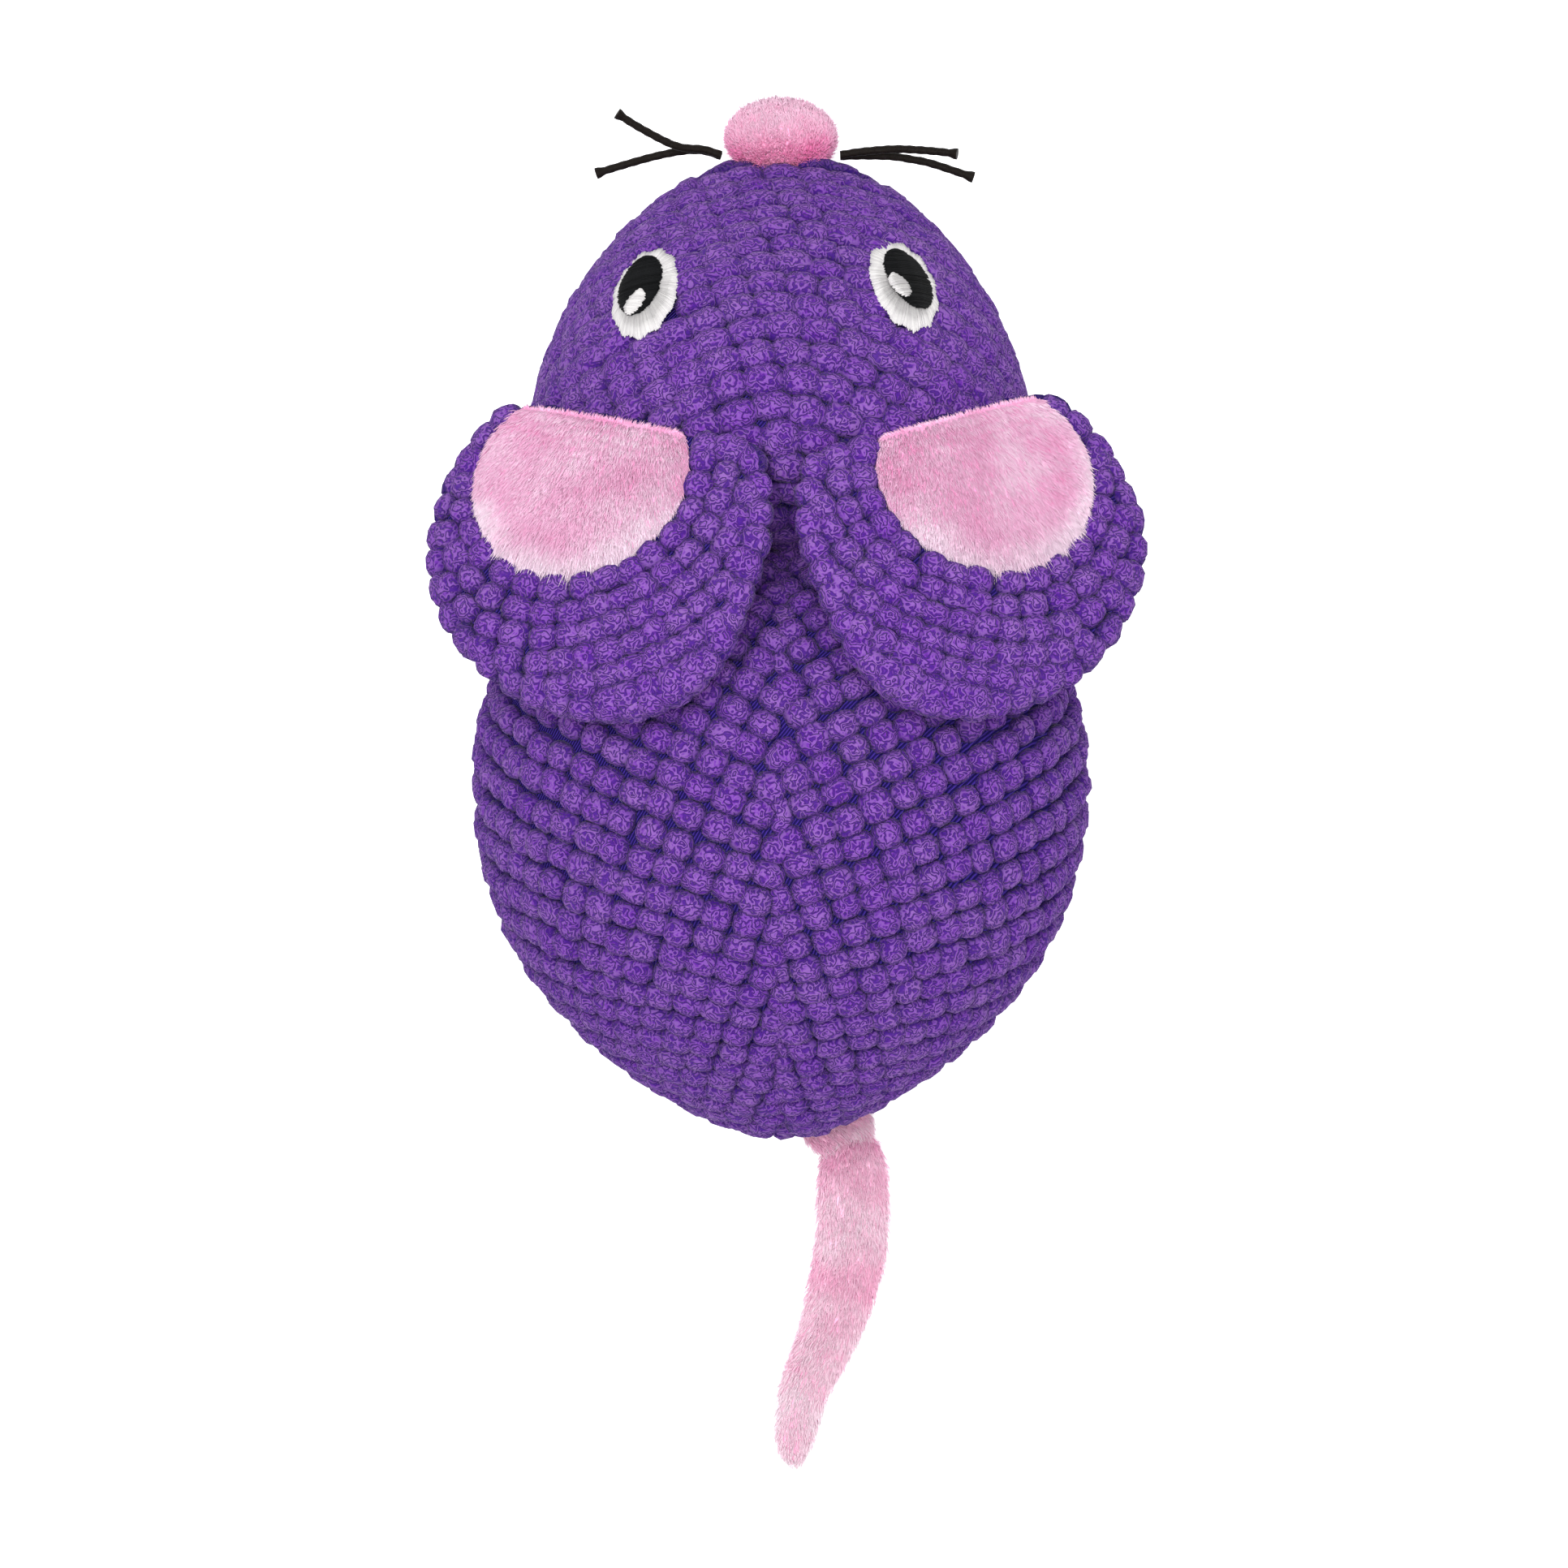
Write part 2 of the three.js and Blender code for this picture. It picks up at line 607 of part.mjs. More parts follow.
const WHISKERS = {
  left_front: {
    side: LEFT,
    level: 0.5,
    route: [[3.3, 1, 0.2], [7.2, 1.3, 0.7], [10.4, 2.4, 1.3], [15.6, 5.1, 2.4], [19.3, 7.4, 3.2]],
  },
  left_rear: {
    side: LEFT,
    level: -0.5,
    route: [[3.3, 1, -0.1], [7.1, 1, -0.3], [12.9, -0.1, -0.6], [20.5, -2.2, -1.2], [23.4, -3.1, -1.5]],
  },
  right_front: {
    side: RIGHT,
    level: 0.5,
    route: [[4.1, 0.6, 0.2], [9.8, 1, 0.8], [14.2, 0.8, 1.4], [18.3, 0.4, 2.1], [21.7, -0.1, 2.8]],
  },
  right_rear: {
    side: RIGHT,
    level: -0.5,
    route: [[4.1, 0.1, -0.1], [9.5, 0, -0.4], [13.1, -0.5, -0.7], [17.1, -1.3, -1], [24.9, -3.8, -1.7]],
  },
};

function makeWhisker(name, { side, level, route }) {
  const radius = CORD_DIAMETER / 2;
  const clear = radius + SEAM_GAP;
  const angle = radians(WHISKER_ROOT_ANGLE);
  const whisker = new THREE.Group();
  whisker.name = `${name}_whisker_root`;
  whisker.position.copy(NOSE_CENTRE).add(vector(
    side * (NOSE_HALF_WIDTH + clear) * Math.cos(angle),
    (NOSE_HALF_LENGTH + clear) * Math.sin(angle),
    level * WHISKER_SPACING,
  ));

  const points = [[0, 0, 0], ...route].map(([out, ahead, up]) => vector(side * out, ahead, up));
  const path = new THREE.CatmullRomCurve3(points);
  const ring = new THREE.Shape().absarc(0, 0, radius, 0, 2 * Math.PI);
  const sweep = { extrudePath: path, steps: CORD_STEPS, bevelEnabled: false, curveSegments: CORD_AROUND / 2 };
  const cord = new THREE.ExtrudeGeometry(ring, sweep);
  const root = new THREE.SphereGeometry(radius, CORD_AROUND, CORD_AROUND);

  const flare = new THREE.CylinderGeometry(CORD_TIP_DIAMETER / 2, radius, CORD_TIP_LENGTH, CORD_AROUND);
  flare.applyQuaternion(new THREE.Quaternion().setFromUnitVectors(vector(0, 1, 0), path.getTangent(1)));
  flare.translate(...points.at(-1).toArray());
  const solid = toSolid(cord).add(toSolid(root)).add(toSolid(flare));
  whisker.add(solidPiece(`${name}_whisker`, solid, waxedCord()));
  return whisker;
}

// Tail: a tab that leaves the seam under the rump and is folded over, and the flat tail that runs on from it

const LIMB_END = [8, 0.5];
const LIMB_SECTION_POWER = 0.8;
const TAB_WIDENS_OVER = [0.1, 0.75];
const TAIL_TAPERS_OVER = [0.35, 1];

// A flat limb along a route in the plane, its half width and half thickness given at t along it.
function limb(route, halfWidth, halfThick, rings) {
  const path = new THREE.CatmullRomCurve3(route.map(([x, y]) => vector(x, y, 0)));
  return toSolid(skin(...rings, (t, across, up) => {
    const s = (t + 1) / 2;
    const ahead = path.getTangentAt(s);
    const full = fullness(t, LIMB_END);
    const offset = vector(ahead.y, -ahead.x, 0).multiplyScalar(halfWidth(s) * full * across);
    const lift = halfThick(s) * full * signedPower(up, LIMB_SECTION_POWER) + halfThick(1);
    return path.getPointAt(s).add(offset).add(vector(0, 0, TAIL_FLOOR_GAP + lift));
  }));
}

function makeTail() {
  const { lerp, smoothstep } = THREE.MathUtils;
  const foldHalf = SEAM_GAP / 2;

  const swing = new THREE.Group();
  swing.name = "tail_root";
  swing.position.set(0, BODY_WIDEST_Y - BODY_REAR_REACH + TAIL_ROOT_INSET, 0);
  const tabWidth = (s) => lerp(TAIL_ROOT_HALF_WIDTH, TAIL_HALF_WIDTH, smoothstep(s, ...TAB_WIDENS_OVER));
  const tabThick = (s) => lerp(TAIL_ROOT_HALF_THICK, TAIL_HALF_THICK, smoothstep(s, ...TAB_WIDENS_OVER));
  const tabRoute = [[-0.15, 0.17], [0.6, -0.5], [1, -1], [1.08, -2]]
    .map(([outward, back]) => [outward * TAB_OUTWARD, back * TAB_LENGTH]);
  const tab = limb(tabRoute, tabWidth, tabThick, TAB_RINGS)
    .intersect(block([-FAR, -TAB_LENGTH + foldHalf, -FAR], [FAR, FAR, FAR]));

  const fold = new THREE.Group();
  fold.name = "tail_fold";
  fold.position.set(TAB_OUTWARD, -TAB_LENGTH, 0);
  const tailCurve = [[-0.1, 0.13], [0.02, 0], [0, -0.2], [-0.07, -0.37], [-0.38, -0.58], [-0.86, -0.78]];
  const tailTip = [[-1.04, -0.935], [-1.02, -1]];
  const tailRoute = [...tailCurve, ...tailTip]
    .map(([outward, back]) => [outward * TAIL_BEND, back * TAIL_LENGTH]);
  const tailWidth = (s) => lerp(TAIL_HALF_WIDTH, TAIL_TIP_HALF_WIDTH, smoothstep(s, ...TAIL_TAPERS_OVER));
  const tail = limb(tailRoute, tailWidth, () => TAIL_HALF_THICK, TAIL_RINGS)
    .intersect(block([-FAR, -FAR, -FAR], [FAR, -foldHalf, FAR]));

  fold.add(solidPiece("tail", tail, pinkPlush()));
  swing.add(solidPiece("tail_tab", tab, pinkPlush()), fold);
  return swing;
}

const mouse = new THREE.Group();
mouse.name = "catnip_mouse";
mouse.add(...makeBody(), ...makeHead(), ...makeNose(), makeTail());
Object.entries(EYES).forEach(([name, eye]) => mouse.add(...makeEye(name, eye)));
Object.entries(EARS).forEach(([name, ear]) => mouse.add(makeEar(name, ear)));
Object.entries(WHISKERS).forEach(([name, whisker]) => mouse.add(makeWhisker(name, whisker)));

export default mouse;
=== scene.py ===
"""A stuffed catnip mouse, seen from above. Sizes are in millimetres until a mesh is made."""

import math

import bmesh
import bpy
import numpy as np
from mathutils import Euler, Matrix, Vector


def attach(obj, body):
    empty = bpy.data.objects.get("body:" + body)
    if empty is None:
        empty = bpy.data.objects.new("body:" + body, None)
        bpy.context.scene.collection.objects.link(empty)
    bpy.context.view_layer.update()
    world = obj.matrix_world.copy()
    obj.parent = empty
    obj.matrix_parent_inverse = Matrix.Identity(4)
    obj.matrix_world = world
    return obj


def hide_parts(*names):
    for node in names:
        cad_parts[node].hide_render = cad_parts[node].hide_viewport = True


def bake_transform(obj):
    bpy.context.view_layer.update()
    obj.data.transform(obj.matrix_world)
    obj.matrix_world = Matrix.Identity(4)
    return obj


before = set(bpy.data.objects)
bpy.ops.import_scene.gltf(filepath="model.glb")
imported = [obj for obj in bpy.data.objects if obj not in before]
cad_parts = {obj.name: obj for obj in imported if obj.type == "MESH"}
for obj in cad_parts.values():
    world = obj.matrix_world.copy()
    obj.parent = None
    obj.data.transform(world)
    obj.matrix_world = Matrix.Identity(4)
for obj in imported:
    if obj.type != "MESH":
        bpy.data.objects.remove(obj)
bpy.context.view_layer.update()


# Stuffing: loose polyester fibrefill, pushed into the body and the head through a gap in the belly seam.
# It is out of sight. The sachet of dried catnip, sewn from muslin, lies in it just above the belly.

MILLIMETRE = 0.001
rng = np.random.default_rng(11)

BODY = {
    "widest": 0.0,
    "half_width": 56.8,
    "waist": 35.0,
    "rise": 52.0,
    "sag": 41.0,
    "front": {"reach": 45.0, "tip": 36.0, "side": (2.2, 0.5), "top": (2.4, 0.6), "under": (2.6, 0.6)},
    "rear": {"reach": 70.8, "tip": 22.0, "side": (2.45, 0.77), "top": (2.45, 0.7), "under": (2.6, 0.6)},
}
HEAD = {
    "widest": 57.0,
    "half_width": 47.5,
    "waist": 36.0,
    "rise": 44.0,
    "sag": 33.0,
    "front": {"reach": 55.8, "tip": 26.0, "side": (1.7, 0.52), "top": (1.7, 0.85), "under": (1.8, 0.7)},
    "rear": {"reach": 21.0, "tip": 38.0, "side": (2.2, 0.5), "top": (2.2, 0.5), "under": (2.2, 0.5)},
}
SECTION_POWER = 0.95


def signed_power(value, power):
    return np.sign(value) * np.abs(value) ** power


def fullness(t, curve):
    power, root = curve
    return np.maximum(1 - np.abs(t) ** power, 0) ** root


def unit(vectors):
    return vectors / np.maximum(np.linalg.norm(vectors, axis=-1, keepdims=True), 1e-9)


def smooth(value, low, high):
    share = np.clip((value - low) / (high - low), 0, 1)
    return share * share * (3 - 2 * share)


def run_along(places):
    """Distances along a line of places."""
    return np.concatenate([[0], np.cumsum(np.linalg.norm(np.diff(places, axis=0), axis=1))])


def pouch_point(pouch, t, angle, inset=0.0):
    """Points of a pouch at t along it, -1 at the rear tip and 1 in front, and an angle up from its waist."""
    t, angle = np.broadcast_arrays(np.asarray(t, float), np.asarray(angle, float))
    points = np.zeros(t.shape + (3,))
    for end, mask in ((pouch["rear"], t <= 0), (pouch["front"], t > 0)):
        s = t[mask]
        up = np.sin(angle[mask])
        waist = pouch["waist"] + (end["tip"] - pouch["waist"]) * s * s
        top = (pouch["rise"] - inset) * fullness(s, end["top"])
        under = (pouch["sag"] - inset) * fullness(s, end["under"])
        width = (pouch["half_width"] - inset) * fullness(s, end["side"])
        points[mask, 0] = width * signed_power(np.cos(angle[mask]), SECTION_POWER)
        points[mask, 1] = pouch["widest"] + s * (end["reach"] - inset)
        points[mask, 2] = waist + np.where(up > 0, top, under) * signed_power(up, SECTION_POWER)
    return points


def template_of(shape):
    """The points and faces of a mesh, its faces grouped by their number of corners."""
    shape.verts.index_update()
    points = np.array([v.co[:] for v in shape.verts])
    faces = [[v.index for v in f.verts] for f in shape.faces]
    shape.free()
    sizes = sorted({len(f) for f in faces})
    return points, [np.array([f for f in faces if len(f) == size]) for size in sizes]


def ball_of(around, along):
    """Where the points of a ball lie, as t from pole to pole and a direction round it, and its faces.

    The operator lists the faces in another order each run, so they are sorted.
    """
    shape = bmesh.new()
    bmesh.ops.create_uvsphere(shape, u_segments=around, v_segments=along, radius=1.0)
    ball, groups = template_of(shape)
    groups = [np.array(sorted(np.roll(f, -np.argmin(f)).tolist() for f in group)) for group in groups]
    ring = np.maximum(np.hypot(ball[:, 0], ball[:, 1]), 1e-6)
    return ball[:, 2], ball[:, 0] / ring, ball[:, 1] / ring, groups


def skin_of(form, around, along):
    """A closed skin over a form, which says where t along it and a direction round it lie."""
    *places, groups = ball_of(around, along)
    points = form(*places)
    return points, facing_out(points, groups, points.mean(axis=0))


def facing_out(points, groups, middle):
    """Face groups of a skin, turned to face away from its middle."""
    inward = np.sum(skin_normals(points, groups) * (points - middle)) < 0
    return [g[:, ::-1] for g in groups] if inward else groups


def skin_normals(points, groups):
    """Normals at the points of a skin."""
    normals = np.zeros_like(points)
    for group in groups:
        a, b, c = (points[group[:, k]] for k in (0, 1, 2))
        face = np.cross(b - a, c - a)
        for k in range(group.shape[1]):
            np.add.at(normals, group[:, k], face)
    return unit(normals)


def placed(name, data):
    """A new object for a mesh, a curve, a camera or a lamp."""
    made = bpy.data.objects.new(name, data)
    bpy.context.collection.objects.link(made)
    return made


def mesh_of(name, parts, materials):
    """One object from parts, each of vertices, face groups, a material number and values of its points."""
    mesh = bpy.data.meshes.new(name)
    faces, numbers, start = [], [], 0
    for vertices, groups, number, _ in parts:
        for group in groups:
            faces += (np.asarray(group) + start).tolist()
            numbers += [number] * len(group)
        start += len(vertices)
    mesh.from_pydata((np.concatenate([p[0] for p in parts]) * MILLIMETRE).tolist(), [], faces)
    mesh.polygons.foreach_set("use_smooth", np.ones(len(faces), bool))
    mesh.polygons.foreach_set("material_index", np.array(numbers, np.int32))
    for key in parts[0][3]:
        values = np.concatenate([p[3][key] for p in parts]).astype(np.float32)
        mesh.attributes.new(key, "FLOAT", "POINT").data.foreach_set("value", values)
    for material in materials:
        mesh.materials.append(material)
    mesh.update()
    return placed(name, mesh)


def pressed_out(points, groups, seam, cap):
    """Points of a padded skin once its filling has pressed it out between its seams, no further than a cap.

    The short cloth simulation is made large, because at the size of a toy the cloth is too stiff to give way.
    """
    large = 20.0
    pressure = 15.0
    stiffness = 5.0
    frames = 20
    trial = mesh_of("trial", [(points * large, groups, 0, {})], [])
    trial.vertex_groups.new(name="seam").add(np.flatnonzero(seam).tolist(), 1.0, "REPLACE")
    cloth = trial.modifiers.new("cloth", "CLOTH").settings
    cloth.vertex_group_mass = "seam"
    cloth.use_pressure = True
    cloth.uniform_pressure_force = pressure
    for kind in ("tension", "compression", "shear"):
        setattr(cloth, f"{kind}_stiffness", stiffness)
    cloth.effector_weights.gravity = 0.0
    for number in range(1, frames + 1):
        bpy.context.scene.frame_set(number)
    pressed = trial.evaluated_get(bpy.context.evaluated_depsgraph_get())
    moved = np.array([v.co[:] for v in pressed.data.vertices]) / (MILLIMETRE * large) - points
    mesh = trial.data
    bpy.data.objects.remove(trial)
    bpy.data.meshes.remove(mesh)
    bpy.context.scene.frame_set(1)
    far = np.linalg.norm(moved, axis=1, keepdims=True)
    return points + moved * np.minimum(1, cap / np.maximum(far, 1e-9))


class Value:
    """A number on a node's socket, so that a material can be written as arithmetic."""

    def __init__(self, tree, socket):
        self.tree = tree
        self.socket = socket

    def math(self, operation, *others):
        node = self.tree.nodes.new("ShaderNodeMath")
        node.operation = operation
        for slot, value in zip(node.inputs, (self, *others)):
            join(self.tree, value, slot)
        return Value(self.tree, node.outputs[0])

    def __add__(self, other):
        return self.math("ADD", other)

    def __sub__(self, other):
        return self.math("SUBTRACT", other)

    def __rsub__(self, other):
        return self * -1 + other

    def __mul__(self, other):
        return self.math("MULTIPLY", other)

    def clipped(self):
        return self.math("MAXIMUM", 0.0).math("MINIMUM", 1.0)

    __radd__ = __add__
    __rmul__ = __mul__


def join(tree, value, slot):
    """Puts a number, a colour or another node's output on a socket."""
    if isinstance(value, Value):
        tree.links.new(value.socket, slot)
    else:
        slot.default_value = value


class Finish:
    """A material being written. Every node but those for arithmetic comes from one method."""

    def __init__(self, name, **constants):
        self.material = bpy.data.materials.new(name)
        self.material.use_nodes = True
        self.tree = self.material.node_tree
        self.shader = self.tree.nodes["Principled BSDF"]
        for key, value in constants.items():
            self.shader.inputs[key.replace("_", " ")].default_value = value

    def node(self, kind, settings=None, output=0, numbered=None, **sockets):
        made = self.tree.nodes.new(kind)
        for key, value in (settings or {}).items():
            setattr(made, key, value)
        for key, value in sockets.items():
            join(self.tree, value, made.inputs[key.replace("_", " ")])
        for number, value in (numbered or {}).items():
            join(self.tree, value, made.inputs[number])
        return Value(self.tree, made.outputs[output])

    def place(self):
        return self.node("ShaderNodeTexCoord", output=3)

    def attribute(self, name):
        return self.node("ShaderNodeAttribute", {"attribute_name": name}, output=2)

    def noise(self, scale, detail=2.0, distortion=0.0):
        sockets = {"Scale": scale, "Detail": detail, "Distortion": distortion}
        return self.node("ShaderNodeTexNoise", Vector=self.place(), **sockets)

    def mix(self, share, low, high):
        return self.node("ShaderNodeMix", {"data_type": "RGBA"}, 2, {0: share, 6: low, 7: high})

    def colour(self, value):
        join(self.tree, value, self.shader.inputs["Base Color"])

    def bump(self, height, distance, strength=1.0):
        made = self.node("ShaderNodeBump", Height=height, Distance=distance, Strength=strength)
        join(self.tree, made, self.shader.inputs["Normal"])

    def worked(self, pattern, low, high, depth, strength=1.0):
        """The material, in two colours that follow a pattern in relief."""
        self.colour(self.mix(pattern, low, high))
        self.bump(pattern, depth, strength)
        return self.material


def srgb(red, green, blue):
    """A colour as it looks, 0 to 255, for a socket that takes linear light."""
    linear = [((c / 255 + 0.055) / 1.055) ** 2.4 if c > 10 else c / 255 / 12.92 for c in (red, green, blue)]
    return (*linear, 1.0)


fleece = Finish("fibrefill", Roughness=0.95, Sheen_Weight=0.3)
FIBREFILL = fleece.worked(fleece.noise(500.0, 4.0, 2.0), srgb(226, 223, 214), srgb(248, 247, 242), 0.0008)


def torso_piece(made, node):
    """Attaches a piece to the torso and hides the CAD node that it replaces."""
    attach(made, "torso")
    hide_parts(node)


def filling(node, form):
    """A lumpy wad of fibrefill over a form, in place of its CAD solid."""
    points, groups = skin_of(form, 48, 28)
    lumps = np.sin(points[:, 0] * 0.31 + 1) * np.sin(points[:, 1] * 0.27) * np.sin(points[:, 2] * 0.35 + 2)
    points = points - skin_normals(points, groups) * (0.5 + 0.5 * lumps)[:, None]
    made = mesh_of(f"{node}_wad", [(points, groups, 0, {})], [FIBREFILL])
    torso_piece(made, node)


def pouch_form(pouch, inset, low):
    """The form of a pouch's filling, flat below."""

    def form(t, across, up):
        angle = np.arctan2(up, np.abs(across))
        points = pouch_point(pouch, t, angle, inset)
        points[:, 0] *= np.where(across < 0, -1, 1)
        points[:, 2] = np.maximum(points[:, 2], low)
        return points

    return form


def oval_form(size, centre):
    """The form of a rounded oval."""

    def form(t, across, up):
        ring = np.sqrt(np.maximum(1 - t * t, 0))
        return np.stack([ring * across, t, ring * up], axis=1) * size + centre

    return form


CLOTH_AND_BOBBLES = 4.6
BODY_FILL_LOW = 21.5
HEAD_FILL_LOW = 5.0
SACHET_SIZE = np.array([17.0, 22.0, 7.2])
SACHET_CENTRE = np.array([0, 0, 11.3])

filling("body_stuffing", pouch_form(BODY, CLOTH_AND_BOBBLES, BODY_FILL_LOW))
filling("head_stuffing", pouch_form(HEAD, CLOTH_AND_BOBBLES, HEAD_FILL_LOW))
muslin = Finish("muslin", Roughness=0.9)
weave = muslin.node("ShaderNodeTexWave", Vector=muslin.place(), Scale=320.0, Distortion=0.6, output=1)
MUSLIN = muslin.worked(weave, srgb(196, 184, 148), srgb(222, 212, 180), 0.0002)
points, groups = skin_of(oval_form(SACHET_SIZE, SACHET_CENTRE), 40, 24)
points = pressed_out(points, groups, np.abs(points[:, 2] - SACHET_CENTRE[2]) < 0.01, 0.8)
sachet = mesh_of("catnip_bag", [(points, groups, 0, {})], [MUSLIN])
torso_piece(sachet, "catnip_sachet")


# Body: two mirrored panels of bobble plush, sewn together along the back. The cloth is a ribbed knit with
# plump chenille bobbles in rows, cut so that the rows run back to the seam on both sides.

BOBBLE_HEIGHT = 2.7
CLOTH_INSET = 2.3


def farthest(within, low, high, count):
    """How far each of a count of places can go from a low to a high distance and be within something."""
    low = np.full(count, low)
    high = np.full(count, high)
    for _ in range(24):
        middle = (low + high) / 2
        inside = within(middle)
        low = np.where(inside, middle, low)
        high = np.where(inside, high, middle)
    return low


def inside_pouch(pouch, points, margin):
    """Which points lie in a pouch that is larger by a margin."""
    along = points[:, 1] - pouch["widest"]
    reach = np.where(along > 0, pouch["front"]["reach"], pouch["rear"]["reach"]) + margin
    t = np.clip(along / reach, -1, 1)
    waist = pouch_point(pouch, t, 0.0, -margin)
    top = pouch_point(pouch, t, math.pi / 2, -margin)[:, 2] - waist[:, 2]
    under = waist[:, 2] - pouch_point(pouch, t, -math.pi / 2, -margin)[:, 2]
    rise = points[:, 2] - waist[:, 2]
    across = np.abs(points[:, 0]) / np.maximum(waist[:, 0], 1e-6)
    up = np.abs(rise) / np.maximum(np.where(rise > 0, top, under), 1e-6)
    power = 2 / SECTION_POWER
    return (across**power + up**power < 1) & (np.abs(along) < reach)


def on_grid(flat, row, out):
    """Places on the grid of a piece laid flat, part way between its rows and a distance out along them."""
    columns = np.arange(flat.out.shape[1])
    low = np.minimum(row.astype(int), len(flat.out) - 2)
    places = []
    for r in (low, low + 1):
        column = np.array([np.interp(o, flat.out[i], columns) for i, o in zip(r, out)])
        c = np.minimum(column.astype(int), len(columns) - 2)
        share = (column - c)[:, None]
        places.append(flat.grid[r, c] * (1 - share) + flat.grid[r, c + 1] * share)
    share = (row - low)[:, None]
    return places[0] * (1 - share) + places[1] * share


LIMP_INSET = CLOTH_INSET + 0.55
SWELLING = 0.9


def swelling(pouch, low, held):
    """How far the filling presses out a pouch's right side, in a table by t along it and angle round it."""
    around, along = 48, 40
    at, across, up, _ = ball_of(around, along)
    points, groups = skin_of(pouch_form(pouch, LIMP_INSET, low), around, along)
    seam = (points[:, 2] < low + 0.01) | (np.abs(at) > 0.999) | held & (np.abs(across) < 1e-6) & (up > 0)
    moved = pressed_out(points, groups, seam, SWELLING) - points
    right = across > -1e-6
    row = np.rint(np.arccos(np.clip(-at[right], -1, 1)) * along / math.pi).astype(int)
    column = np.rint((np.arctan2(up[right], across[right]) / math.pi + 0.5) * around / 2).astype(int)
    table = np.zeros((along + 1, around // 2 + 1, 3))
    table[row, column] = moved[right]
    return table


def read_between(table, places, axis):
    """A table's values at places between its entries along one axis."""
    return np.apply_along_axis(lambda values: np.interp(places, np.arange(len(values)), values), axis, table)


class Panel:
    """One side of a pouch laid flat: distances along the seam on its back, and out from that seam."""

    def __init__(self, pouch, side, swell):
        self.t = np.cos(np.linspace(math.pi, 0, 361))
        angles = np.linspace(math.pi / 2, -math.pi / 2, 181)
        moved = read_between(swell, np.arccos(-self.t) / math.pi * (len(swell) - 1), 0)
        moved = read_between(moved, (angles / math.pi + 0.5) * (swell.shape[1] - 1), 1)
        self.grid = pouch_point(pouch, self.t[:, None], angles[None, :], LIMP_INSET) + moved
        self.grid *= np.array([side, 1, 1])
        seam = run_along(self.grid[:, 0])
        self.seam = seam - np.interp(0, self.t, seam)
        self.out = np.array([run_along(row) for row in self.grid])

    def point(self, along, out):
        """Where places on the flat panel lie on the pouch."""
        return on_grid(self, np.interp(along, self.seam, np.arange(len(self.t))), out)

    def width(self, along):
        """How far the panel reaches out from the seam."""
        return np.interp(along, self.seam, self.out[:, -1])


def bobble_template():
    """One plump bobble of unit half size, squarish in plan, rounder from the side and flat below."""
    plan_power = 2.3
    side_power = 2.1
    underside = -0.25
    shape = bmesh.new()
    bmesh.ops.create_cube(shape, size=2.0)
    bmesh.ops.subdivide_edges(shape, edges=shape.edges[:], cuts=2, use_grid_fill=True)
    for v in shape.verts:
        plan = (abs(v.co.x) ** plan_power + abs(v.co.y) ** plan_power) ** (1 / plan_power)
        v.co /= (plan**side_power + abs(v.co.z) ** side_power) ** (1 / side_power)
        v.co.z = max(v.co.z, underside)
    return template_of(shape)


BOBBLE = bobble_template()


def copy_faces(groups, size, count, mirrored=False):
    """Face groups of a template with a number of points, laid a number of times, turned over if mirrored."""
    if mirrored:
        groups = [np.roll(group[:, ::-1], 1, axis=1) for group in groups]
    starts = (np.arange(count) * size)[:, None, None]
    return [(group[None] + starts).reshape(-1, group.shape[1]) for group in groups]


def frames_on(point, along, out, turn):
    """Where places on a flat pattern lie, with the row's direction there, the way across it and the normal.

    The way across is as long as the cloth is stretched there, so wider bobbles fill the space between rows.
    """
    step = 0.4
    here = point(along, out)
    row = unit(point(along + step * np.sin(turn), out + step * np.cos(turn)) - here)
    aside = point(along + step * np.cos(turn), out - step * np.sin(turn)) - here
    normal = unit(np.cross(row, aside))
    across = np.cross(normal, row)
    stretch = np.clip(np.sum(aside * across, axis=1) / step, 0.9, 1.6)
    return here, row, across * stretch[:, None], normal


def turning_rows(cloth, along_row, across_row):
    """Rows that meet the seam at a turn, which changes over a stretch of that seam."""
    first, last = np.radians(cloth["turn"])

    def turn_at(seam):
        share = np.clip((seam - cloth["over"][0]) / (cloth["over"][1] - cloth["over"][0]), 0, 1)
        return first + (last - first) * share

    steps = 24
    seam = np.zeros(len(along_row))
    slip = np.zeros(len(along_row))
    for _ in range(steps):
        turn = turn_at(seam)
        seam = seam + across_row / steps / np.cos(turn)
        slip = slip - across_row / steps * np.tan(turn)
    turn = turn_at(seam)
    out = (along_row + slip) * np.cos(turn)
    return seam + out * np.tan(turn), out, turn


def lattice(cloth, rows, reach):
    """Bobble centres in the flat: distances along the seam and out from it, and the turn of the row there."""
    count = int(reach / cloth["row"]) + 2
    i, j = np.meshgrid(np.arange(-count, count + 1), np.arange(-count, count + 1))
    along_row = (i * cloth["pitch"] + cloth["start"][0] + rng.normal(0, 0.2, i.shape)).ravel()
    across_row = (j * cloth["row"] + cloth["start"][1] + rng.normal(0, 0.2, i.shape)).ravel()
    return rows(cloth, along_row, across_row)


